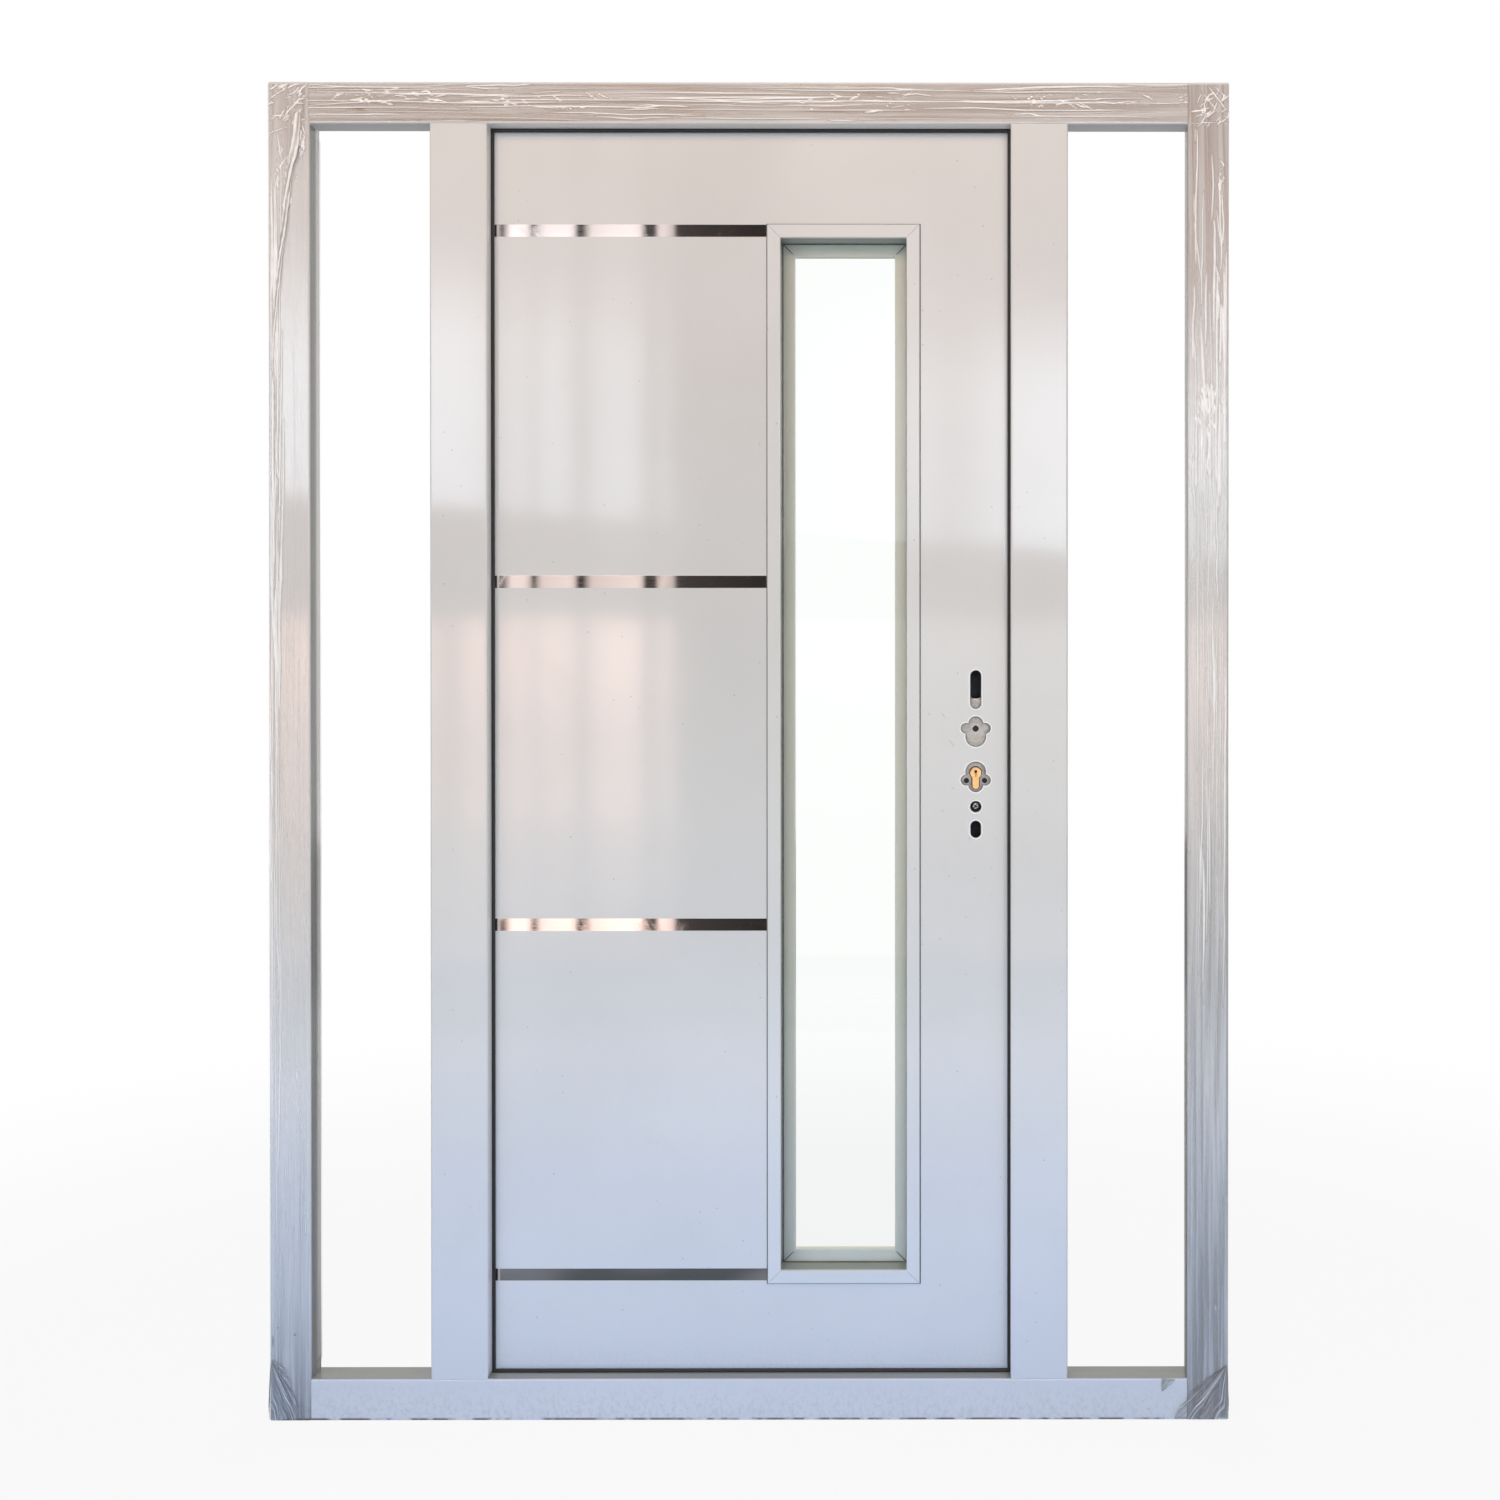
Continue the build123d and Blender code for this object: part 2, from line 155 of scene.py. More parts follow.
def stretched(vector, scale):
    return put(treeOf(vector), "Mapping", {0: vector, 3: scale}).outputs[0]


def bumpFrom(height):
    return put(treeOf(height), "Bump", {"Strength": 1.0, "Distance": 1.0, "Height": height}).outputs[0]


def blendColours(share, first, second, style="MIX"):
    first, second = [colour if isinstance(colour, bpy.types.NodeSocket) else (*colour, 1)
                     for colour in (first, second)]
    return put(treeOf(share, first, second), "Mix", {0: share, 6: first, 7: second}, data_type="RGBA",
               blend_type=style).outputs[2]


# Colour stops along a value, each stop a place and a colour or a grey level.
def ramp(value, stops):
    node = put(treeOf(value), "ValToRGB", {0: value})
    elements = node.color_ramp.elements
    while len(elements) < len(stops):
        elements.new(0.5)
    for element, (where, colour) in zip(elements, stops):
        element.position = where
    for element, (where, colour) in zip(elements, stops):
        element.color = (*colour, 1) if hasattr(colour, "__len__") else (colour, colour, colour, 1)
    return node.outputs[0]


def newMaterial(name):
    material = bpy.data.materials.new(name)
    material.use_nodes = True
    tree = material.node_tree
    tree.nodes.clear()
    output = put(tree, "OutputMaterial")
    return material, tree, output


def vectors(operation, first, second):
    return put(treeOf(first), "VectorMath", {0: first, 1: second}, operation=operation).outputs[0]


def axes(vector):
    return put(treeOf(vector), "SeparateXYZ", {0: vector}).outputs


def principled(tree, output, sockets):
    tree.links.new(put(tree, "BsdfPrincipled", sockets).outputs[0], output.inputs["Surface"])


# A node group by its inputs, of which one without a value is a vector, and by a function that
# gives its outputs.
def newGroup(name, inputs, build):
    group = bpy.data.node_groups.new(name, "ShaderNodeTree")
    for title, value in inputs.items():
        kind = "NodeSocketVector" if value is None else "NodeSocketFloat"
        socket = group.interface.new_socket(title, in_out="INPUT", socket_type=kind)
        if value is not None:
            socket.default_value = value
    made = build(group, group.nodes.new("NodeGroupInput").outputs)
    for title in made:
        group.interface.new_socket(title, in_out="OUTPUT", socket_type="NodeSocketFloat")
    wanted = group.nodes.new("NodeGroupOutput").inputs
    for title, value in made.items():
        group.links.new(value, wanted[title])
    return group


def useGroup(group, sockets):
    return put(treeOf(*sockets.values()), "Group", sockets, node_tree=group).outputs


# A surface by its shader's sockets, which looks works out from the Object coordinates.
def surface(name, looks, *given):
    material, tree, output = newMaterial(name)
    principled(tree, output, looks(put(tree, "TexCoord").outputs["Object"], *given))
    return material


# The camera stands to the right of the middle and looks square at the door.
camera = {"place": (0.290, -2.440, 1.130), "lens": 37.586, "shift": (-0.1282, -0.0399),
          "down": 0.0041, "aside": 0.0025, "sensor": 36}
lens = bpy.data.cameras.new("camera")
lens.lens = camera["lens"]
lens.sensor_width = camera["sensor"]
lens.shift_x, lens.shift_y = camera["shift"]
eye = bpy.data.objects.new("camera", lens)
eye.location = camera["place"]
eye.rotation_euler = (math.pi / 2 - camera["down"], 0, -camera["aside"])
scene.collection.objects.link(eye)
scene.camera = eye
print("camera set")


# Studio: a pale floor that fades to white, soft lamps, and cards that only gloss can see. Each
# lamp is its name, place, aim, size, watts and colour.
warmWhite = (1.0, 0.98, 0.96)
studio = {
    "ambient": 0.30, "floorWhite": 0.90, "floorRadius": 9.0, "floorFade": (1.2, 3.2),
    "floorMatt": (0.60, 0.60, 0.60, 1),
    "lamps": [("frontLamp", (0.3, -3.6, 1.3), (0, 0, 1.1), (3.4, 2.0), 46.0, (0.64, 0.81, 1.0)),
              ("highLamp", (0, -1.3, 2.45), (0, 0, 2.0), (2.6, 0.6), 15.5, (1.0, 0.71, 0.50)),
              ("kneeLamp", (0, -0.9, 0.62), (0, 0, 0.60), (2.6, 0.3), 3.7, (1.0, 0.83, 0.30)),
              ("lowLamp", (0, -0.75, 0.22), (0, 0, 0.12), (2.6, 0.3), 4.7, (0.0, 0.29, 1.0)),
              ("backLamp", (0, 3.2, 1.7), (0, 0, 1.0), (3.0, 2.4), 48.0, warmWhite),
              ("leftLamp", (-3.4, 0.5, 1.3), (0, 0.1, 1.0), (1.2, 2.2), 16.0, warmWhite),
              ("rightLamp", (3.4, 0.5, 1.3), (0, 0.1, 1.0), (1.2, 2.2), 16.0, warmWhite)]}

world = bpy.data.worlds.new("studio")
scene.world = world
world.use_nodes = True
tree = world.node_tree
tree.nodes.clear()
path = put(tree, "LightPath").outputs
seen = calc("MAXIMUM", path["Is Glossy Ray"], path["Is Transmission Ray"])
seen = calc("MAXIMUM", path["Is Camera Ray"], seen)
strength = spread(seen, 0, 1, studio["ambient"], 1.0, smooth=False)
sky = put(tree, "Background", {"Color": (1, 1, 1, 1), "Strength": strength})
tree.links.new(sky.outputs[0], put(tree, "OutputWorld").inputs["Surface"])

floorPaint, tree, output = newMaterial("paleFloor")
where = put(tree, "TexCoord").outputs["Object"]
away = put(tree, "VectorMath", {0: where}, operation="LENGTH").outputs["Value"]
path = put(tree, "LightPath").outputs
seen = calc("MAXIMUM", path["Is Camera Ray"], path["Is Transmission Ray"])
share = spread(away, *studio["floorFade"], 1 - studio["floorWhite"], 0.0)
share = times(calc("SUBTRACT", 1, share), seen)
matt = put(tree, "BsdfDiffuse", {"Color": studio["floorMatt"]}).outputs[0]
white = put(tree, "Emission", {"Color": (1, 1, 1, 1), "Strength": 1.0}).outputs[0]
floorMix = put(tree, "MixShader", {0: share, 1: matt, 2: white})
tree.links.new(floorMix.outputs[0], output.inputs["Surface"])
reach = studio["floorRadius"]
corners = np.array([[[-reach, -reach, 0], [reach, -reach, 0]], [[-reach, reach, 0], [reach, reach, 0]]])
place("floor", gridMesh("floor", corners[:, ::-1]), floorPaint)


def hide(thing, *kinds):
    for kind in kinds:
        setattr(thing, "visible_" + kind, False)


def lamp(name, where, aim, size, watts, colour):
    data = bpy.data.lights.new(name, "AREA")
    data.shape = "RECTANGLE"
    data.size, data.size_y = size
    data.energy = watts
    data.color = colour
    thing = bpy.data.objects.new(name, data)
    thing.location = where
    direction = np.array(aim, float) - np.array(where, float)
    thing.rotation_euler = (math.acos(-direction[2] / np.linalg.norm(direction)), 0,
                            math.atan2(direction[1], direction[0]) - math.pi / 2)
    hide(thing, "camera", "glossy", "transmission")
    scene.collection.objects.link(thing)


for row in studio["lamps"]:
    lamp(*row)


# A flat card that only reflections see, drawn by a function of its own tree.
def card(name, low, high, paint):
    material, tree, output = newMaterial(name)
    colour = paint(tree, axes(put(tree, "TexCoord").outputs["Object"]))
    glow = put(tree, "Emission", {"Color": colour, "Strength": 1.0})
    tree.links.new(glow.outputs[0], output.inputs["Surface"])
    low, high = np.array(low, float), np.array(high, float)
    flat = abs(high - low).argmin()
    first, second = [axis for axis in range(3) if axis != flat]
    points = np.tile(low, (2, 2, 1))
    points[:, 1, first] = high[first]
    points[1, :, second] = high[second]
    thing = place(name, gridMesh(name, points), material)
    hide(thing, "camera", "diffuse", "transmission", "volume_scatter", "shadow")


# What stands behind the camera: a bright window over posts, and a wall in warm light below it.
# Each list gives a place along x and a colour or level there; slant tips the window's sill.
backdrop = {
    "left": -2.8, "right": 1.9, "bottom": -0.6, "top": 3.6, "away": -4.0, "slant": -0.073,
    "softness": 0.012, "base": (0.98, 0.84, 0.79), "windowGlow": 6.3, "windowRest": 0.06,
    "windowColour": (0.86, 0.95, 1.05), "sill": 1.73, "windowFade": (2.3, 2.93), "wallGlow": 8.8,
    "wallTop": 1.395,
    "wallHeights": [(-0.1, 0.02), (0.25, 0.11), (0.5, 0.25), (0.62, 0.5), (0.82, 0.56),
        (0.98, 0.66), (1.14, 0.9), (1.4, 1.0)],
    "window": [(-2.8, 1.15), (-2.1, 1.05), (-1.6, 0.92), (-1.48, 0.66), (-1.36, 0.72),
        (-1.285, 0.8), (-1.2, 0.6), (-1.06, 0.76), (-0.95, 0.68), (-0.84, 0.48), (-0.75, 0.1),
        (-0.42, 0.04), (0.0, 0.2), (0.25, 0.56), (0.36, 0.36), (0.54, 0.8), (0.7, 1.0), (1.0, 1.0),
        (1.45, 0.8), (1.9, 0.3)],
    "wall": [(-2.8, (0.7, 0.42, 0.32)), (-1.78, (0.7, 0.42, 0.32)), (-1.72, (0.2, 0.12, 0.1)),
        (-1.66, (0.25, 0.14, 0.11)), (-1.61, (0.85, 0.54, 0.44)), (-1.5, (0.7, 0.4, 0.32)),
        (-1.36, (0.95, 0.62, 0.52)), (-1.22, (0.8, 0.5, 0.4)), (-1.08, (1.0, 0.66, 0.55)),
        (-0.93, (0.95, 0.62, 0.52)), (-0.8, (0.7, 0.48, 0.42)), (-0.7, (0.05, 0.04, 0.04)),
        (0.1, (0.08, 0.08, 0.08)), (0.25, (0.2, 0.2, 0.19)), (0.8, (0.24, 0.24, 0.23)),
        (1.1, (0.24, 0.2, 0.17)), (1.45, (0.6, 0.42, 0.34))],
    "posts": [(-1.53, 1.0), (-1.5, 0.03), (-1.487, 0.03), (-1.47, 1.0), (-1.39, 1.0),
        (-1.376, 0.05), (-1.358, 0.05), (-1.345, 0.85), (-1.205, 1.0), (-1.19, 0.04),
        (-1.158, 0.05), (-1.14, 0.8), (-0.93, 1.0), (-0.912, 0.06), (-0.868, 0.06), (-0.852, 0.9),
        (-0.8, 0.7), (-0.78, 0.06), (-0.41, 0.03), (-0.3, 1.0)]}
b = backdrop


def paintBackdrop(tree, spot):
    run = spread(spot["X"], b["left"], b["right"], smooth=False)

    def across(title):
        return ramp(run, [((x - b["left"]) / (b["right"] - b["left"]), c) for x, c in b[title]])

    rise = calc("SUBTRACT", spot["Z"], times(spot["X"], b["slant"]))
    up = times(spread(rise, b["sill"] - b["softness"], b["sill"] + b["softness"]),
               spread(rise, *b["windowFade"], b["windowGlow"], b["windowGlow"] * b["windowRest"]))
    height = b["top"] - b["bottom"]
    climb = spread(spot["Z"], b["bottom"], b["top"], smooth=False)
    rows = ramp(climb, [((z - b["bottom"]) / height, v) for z, v in b["wallHeights"]])
    low = times(times(rows, b["wallGlow"]),
                spread(spot["Z"], b["wallTop"] - b["softness"], b["wallTop"] + b["softness"], 1, 0))
    window = blendColours(1.0, across("window"), b["windowColour"], "MULTIPLY")
    scaled = [put(tree, "VectorMath", {0: colour, "Scale": level}, operation="SCALE").outputs[0]
              for colour, level in ((window, up), (across("wall"), low))]
    bright = vectors("ADD", vectors("ADD", *scaled), b["base"])
    return vectors("MULTIPLY", bright, across("posts"))


card("windowBackdrop", (b["left"], b["away"], b["bottom"]), (b["right"], b["away"], b["top"]),
     paintBackdrop)

# Dark paving in front of the threshold, which the lowest inlay shows.
pavement = {
    "low": (-1.6, -2.6, 0.004), "high": (1.4, -0.12, 0.004), "fade": (-0.4, -2.6), "grain": 9.0,
    "dark": (0.075, 0.09, 0.105), "light": (0.18, 0.2, 0.235), "far": (0.9, 0.9, 0.9)}


def paintPaving(tree, spot):
    p = pavement
    stripes = put(tree, "TexNoise", {"Scale": p["grain"], "Detail": 1.0}).outputs[0]
    near = blendColours(spread(stripes, 0.4, 0.62), p["dark"], p["light"])
    return blendColours(spread(spot["Y"], *p["fade"]), near, p["far"])


card("paving", pavement["low"], pavement["high"], paintPaving)
print("studio set")


# Effects that several finishes share.

# Height of the enamel: fine peel from spraying, and the slow waves of thin sheet, each a noise
# about zero at its size times its depth.
def relief(tree, given):
    heights = []
    for size, depth in (("Peel Size", "Peel Depth"), ("Wave Size", "Wave Depth")):
        swell = noise(given["Vector"], calc("DIVIDE", 1.0, given[size]), 1.0, 0.4)
        heights.append(times(calc("SUBTRACT", swell, 0.5), given[depth]))
    return {"Height": plus(*heights)}


# Marks of handling, each a mask: smudges are broad noise, scratches the borders of bent cells
# where a second noise lets them show, and specks the middles of a few small cells.
def marksOf(tree, given):
    scale = calc("DIVIDE", 1.0, given["Size"])
    cloud = noise(given["Vector"], scale, 6.0, 0.62, 0.6)
    warp = put(tree, "TexNoise", {"Vector": given["Vector"], "Scale": scale, "Detail": 2.0}).outputs[1]
    bent = vectors("ADD", given["Vector"], vectors("MULTIPLY", warp, (0.05, 0.05, 0.05)))
    cells = put(tree, "TexVoronoi", {"Vector": bent, "Scale": times(scale, 1.2)},
                feature="DISTANCE_TO_EDGE").outputs[0]
    broken = spread(noise(given["Vector"], times(scale, 3.0)), 0.56, 0.68)
    line = times(spread(cells, 0.0, 0.006, 1.0, 0.0), broken)
    dots = put(tree, "TexVoronoi", {"Vector": given["Vector"], "Scale": times(scale, 9.0),
                                    "Randomness": 1.0}).outputs
    few = spread(put(tree, "SeparateColor", {0: dots["Color"]}).outputs[0], 0.90, 0.93)
    speck = times(spread(dots["Distance"], 0.05, 0.13, 1.0, 0.0), few)
    return {"Smudge": times(spread(cloud, 0.52, 0.72), given["Smudges"]),
            "Scratch": times(line, given["Scratches"]), "Speck": times(speck, given["Specks"])}


# Dirt that stands highest near a level and thins out over its reach above it, in upright streaks.
def rising(tree, given):
    height = calc("SUBTRACT", axes(given["Vector"])["Z"], given["Level"])
    near = spread(calc("DIVIDE", height, given["Reach"]), 0.0, 1.0, 1.0, 0.0)
    streaks = noise(stretched(given["Vector"], (190, 190, 150)), 1.0, 4.0, 0.65)
    return {"Dirt": times(times(near, spread(streaks, 0.44, 0.66)), given["Amount"])}


enamelRelief = newGroup("enamelRelief", {"Vector": None, "Peel Size": 0.003, "Peel Depth": 0.00001,
                                         "Wave Size": 0.25, "Wave Depth": 0.0002}, relief)
handlingMarks = newGroup("handlingMarks", {"Vector": None, "Size": 0.12, "Smudges": 0.5,
                                           "Scratches": 0.3, "Specks": 0.3}, marksOf)
risingDirt = newGroup("risingDirt", {"Vector": None, "Level": 0.0, "Reach": 0.08, "Amount": 0.5},
                      rising)
print("shared effects made")


# White stoved enamel on folded sheet. inner is painted shade on faces past innerDepth (the liner
# in the trim, the lip behind the pane), side is where that painted shade deepens to the left and to
# what share, ledge darkens the frame's sill top and foot is a broken dark band along its bottom edge.
enamel = {
    "leafEnamel": {
        "colour": (0.72, 0.715, 0.71), "roughness": 0.075, "peel": 0.000007, "waveSize": 0.16,
        "waveDepth": 0.00025, "smudges": 0.35, "dirt": 0.1, "dirtLevel": 0.05},
    "frameEnamel": {
        "colour": (0.72, 0.715, 0.71), "roughness": 0.07, "peel": 0.000007, "waveSize": 0.2,
        "waveDepth": 0.00016, "smudges": 0.3, "dirt": 0.22, "dirtLevel": 0.0,
        "ledge": (0.17, 0.19, 0.175), "ledgeFront": (-0.0396, -0.037), "ledgeBack": (0.04, 0.038),
        "ledgeHeight": (0.072, 0.064), "ledgeShare": 0.75, "foot": (0.07, 0.055, 0.05),
        "footHeight": (0.005, 0.0015), "footShare": 0.85, "footGrain": 34.0},
    "lipEnamel": {
        "colour": (0.83, 0.79, 0.72), "roughness": 0.2, "peel": 0.000006, "waveSize": 0.12,
        "waveDepth": 0.00006, "smudges": 0.2, "dirt": 0.03, "dirtLevel": 0.19,
        "inner": (0.7, 0.67, 0.6), "innerDepth": (0.03, 0.028), "side": (0.02, 0.1, 0.66)},
    "trimEnamel": {
        "colour": (0.73, 0.73, 0.725), "roughness": 0.12, "peel": 0.000006, "waveSize": 0.12,
        "waveDepth": 0.00006, "smudges": 0.2, "dirt": 0.03, "dirtLevel": 0.19,
        "inner": (0.34, 0.37, 0.35), "innerDepth": (-0.0088, -0.008)}}


# Marks of handling on the enamel, each a colour and for two of them a share.
grime = {
    "smudge": (0.50, 0.49, 0.48), "smudgeShare": 0.16, "scratch": (0.42, 0.41, 0.40),
    "scratchShare": 0.25, "speck": (0.30, 0.29, 0.28), "dirt": (0.33, 0.31, 0.29)}


def enamelLooks(where, v):
    spot = axes(where)
    relief = useGroup(enamelRelief, {"Vector": where, "Peel Depth": v["peel"],
                                     "Wave Size": v["waveSize"], "Wave Depth": v["waveDepth"]})
    marks = useGroup(handlingMarks, {"Vector": where, "Smudges": v["smudges"],
                                     "Scratches": 0.35, "Specks": 0.5})
    dirt = useGroup(risingDirt, {"Vector": where, "Level": v["dirtLevel"], "Amount": v["dirt"]})["Dirt"]
    faint = spread(noise(where, 3.0, 3.0), 0.35, 0.65)
    colour = blendColours(faint, v["colour"], tuple(c * 0.965 for c in v["colour"]))
    for share, tone in ((times(marks["Smudge"], grime["smudgeShare"]), "smudge"),
                        (marks["Speck"], "speck"),
                        (times(marks["Scratch"], grime["scratchShare"]), "scratch"), (dirt, "dirt")):
        colour = blendColours(share, colour, grime[tone])
    # Painted shade: the visor's liner, and the lip behind the pane, more so to its left.
    if "inner" in v:
        tone = v["inner"]
        if "side" in v:
            left, right, share = v["side"]
            leftShade = tuple(c * share for c in tone)
            tone = blendColours(spread(spot["X"], left, right), leftShade, tone)
        colour = blendColours(spread(spot["Y"], *v["innerDepth"]), colour, tone)
    # The sill's top is darkened between its front and back, and a broken dark band runs along the bottom
    # edge.
    if "ledge" in v:
        within = times(*[spread(spot["Y"], *v[edge]) for edge in ("ledgeFront", "ledgeBack")])
        ledge = times(within, spread(spot["Z"], *v["ledgeHeight"], 0.0, v["ledgeShare"]))
        colour = blendColours(ledge, colour, v["ledge"])
        broken = spread(noise(where, v["footGrain"], 3.0), 0.38, 0.56)
        foot = times(broken, spread(spot["Z"], *v["footHeight"], 0.0, v["footShare"]))
        colour = blendColours(foot, colour, v["foot"])
    rough = plus(times(marks["Smudge"], 0.05), v["roughness"])
    return {"Base Color": colour, "Roughness": plus(rough, times(dirt, 0.4), clamp=True), "IOR": 1.5,
            "Normal": bumpFrom(relief["Height"])}


# Polished strip let into the leaf, with the faint lines of its polishing along it.
def inlayLooks(where):
    lines = noise(stretched(where, (5, 40, 900)), 1.0)
    marks = useGroup(handlingMarks, {"Vector": where, "Size": 0.05, "Smudges": 0.6, "Scratches": 0.4})
    rough = plus(times(marks["Smudge"], 0.10), spread(lines, 0.3, 0.7, 0.014, 0.034))
    return {"Base Color": blendColours(lines, (0.86, 0.83, 0.82), (0.93, 0.90, 0.89)), "Metallic": 1.0,
            "Roughness": rough, "Normal": bumpFrom(times(lines, 0.000004))}


def sealLooks(where):
    grain = noise(where, 700.0)
    return {"Base Color": blendColours(grain, (0.012, 0.012, 0.013), (0.028, 0.028, 0.030)),
            "Roughness": spread(grain, 0, 1, 0.55, 0.75), "Normal": bumpFrom(times(grain, 0.0002))}


# Clear float glass; light for the lip behind it passes straight through.
def makeGlass():
    material, tree, output = newMaterial("visorGlass")
    where = put(tree, "TexCoord").outputs["Object"]
    marks = useGroup(handlingMarks, {"Vector": where, "Size": 0.2, "Smudges": 0.4, "Scratches": 0.0})
    shader = put(tree, "BsdfPrincipled", {"Base Color": (0.97, 0.99, 0.98, 1), "Metallic": 0.0,
                                          "Roughness": times(marks["Smudge"], 0.03),
                                          "IOR": 1.45, "Transmission Weight": 1.0})
    path = put(tree, "LightPath").outputs
    clear = put(tree, "BsdfTransparent", {"Color": (0.98, 1.0, 0.98, 1)})
    through = calc("MAXIMUM", path["Is Shadow Ray"], path["Is Diffuse Ray"])
    both = put(tree, "MixShader", {0: through, 1: shader.outputs[0], 2: clear.outputs[0]})
    tree.links.new(both.outputs[0], output.inputs["Surface"])
    return material


# Plain finishes, each a light and a dark colour, roughness, metallic, size of grain and stretch.
plain = {
    "lockSteel": ((0.46, 0.45, 0.43), (0.36, 0.35, 0.33), 0.42, 0.45, 0.004, (1, 1, 1)),
    "cylinderBrass": ((0.74, 0.50, 0.24), (0.58, 0.37, 0.16), 0.36, 1.0, 0.002, (1, 0.1, 1)),
    # The rims' enamel is whiter as a painted highlight on the cut-outs' edges; the grey below it is
    # painted shadow on them.
    "whiteRimHighlight": ((0.99, 0.99, 0.99), (0.95, 0.95, 0.95), 0.25, 0.0, 0.003, (1, 1, 1)),
    "cutEdgeShadow": ((0.20, 0.20, 0.20), (0.12, 0.12, 0.12), 0.45, 0.0, 0.003, (1, 1, 1)),
    # A dark finish for the visor's gasket and mitres, and painted shadow at the trim's outer edge.
    "darkJointAndShadow": ((0.17, 0.17, 0.17), (0.10, 0.10, 0.10), 0.34, 0.8, 0.003, (1, 1, 1)),
    # Black for painted shade in holes and gaps round the lock, and for the dark joints at the lip's
    # mitres.
    "blackShadeAndJoint": ((0.008, 0.012, 0.020), (0.004, 0.006, 0.011), 0.60, 0.0, 0.002, (1, 1, 1)),
    "platedSteel": ((0.66, 0.66, 0.65), (0.52, 0.52, 0.51), 0.26, 1.0, 0.003, (1, 1, 1)),
    "rubbedGrey": ((0.40, 0.40, 0.41), (0.30, 0.30, 0.31), 0.5, 0.0, 0.003, (1, 1, 1))}


def plainLooks(where, light, dark, roughness, metallic, size, stretch):
    grain = noise(stretched(where, stretch), 1 / size, 4.0, 0.6)
    marks = useGroup(handlingMarks, {"Vector": where, "Size": 0.03, "Smudges": 0.6,
                                     "Scratches": 0.8, "Specks": 0.3})
    colour = blendColours(spread(grain, 0.3, 0.7), light, dark)
    colour = blendColours(marks["Speck"], colour, tuple(c * 0.4 for c in dark))
    rough = plus(spread(grain, 0.3, 0.7, roughness * 0.85, roughness * 1.2), times(marks["Smudge"], 0.12))
    return {"Base Color": colour, "Metallic": metallic, "Roughness": rough,
            "Normal": bumpFrom(times(grain, 0.00003))}


paint = {name: surface(name, enamelLooks, v) for name, v in enamel.items()}
paint.update({name: surface(name, plainLooks, *v) for name, v in plain.items()})
finishes = {"inlay": surface("inlaySteel", inlayLooks), "seal": surface("sealRubber", sealLooks),
            "glass": makeGlass(), "brass": paint["cylinderBrass"], "lock_steel": paint["lockSteel"],
            "film": paint["frameEnamel"]}
slotOf = {row["node"]: row["material_slot"] for row in frame["record"]["subparts"]}
leafParts = set(frame["record"]["behaviour"]["bodies"]["leaf"])


def finishOf(name):
    if slotOf[name] != "enamel":
        return finishes[slotOf[name]]
    if "visor" in name:
        return paint["lipEnamel" if "back" in name else "trimEnamel"]
    return paint["leafEnamel" if name in leafParts else "frameEnamel"]


for name, node in nodes.items():
    node.data.materials.clear()
    node.data.materials.append(finishOf(name))
print("finishes on the nodes")


# Clear wrap still on the frame. Its creases are drawn into three fields on each sheet: glint is
# a painted highlight along a fold, shade painted shade along one, and veil the haze of doubled
# film. Fine streaks of stretched noise join each of them.
def creased(tree, given):
    fine = []
    for seed, size in ((0.0, (7, 620, 1)), (4.3, (11, 480, 1)), (9.1, (3, 150, 1))):
        moved = put(tree, "Mapping", {0: given["Vector"], 1: (seed, seed, 0), 3: size}).outputs[0]
        fine.append(noise(moved, 1.0, distortion=0.4))
    light = times(spread(fine[0], 0.60, 0.76), given["Streaks"])
    light = plus(light, given["Glint"], clamp=True)
    dark = times(spread(fine[1], 0.54, 0.74), given["Streaks"])
    dark = plus(dark, given["Shade"], clamp=True)
    haze = times(spread(fine[2], 0.35, 0.65, 0.55, 1.45), given["Veil"])
    cover = plus(times(light, 0.85), times(dark, 0.42))
    tall = calc("SUBTRACT", plus(fine[0], light), dark)
    return {"Light": light, "Dark": dark, "Cover": plus(cover, haze, clamp=True),
            "Height": times(tall, 0.00022)}


filmCreases = newGroup("filmCreases", {"Vector": None, "Glint": 0.0, "Shade": 0.0, "Veil": 0.1,
                                       "Streaks": 0.5}, creased)

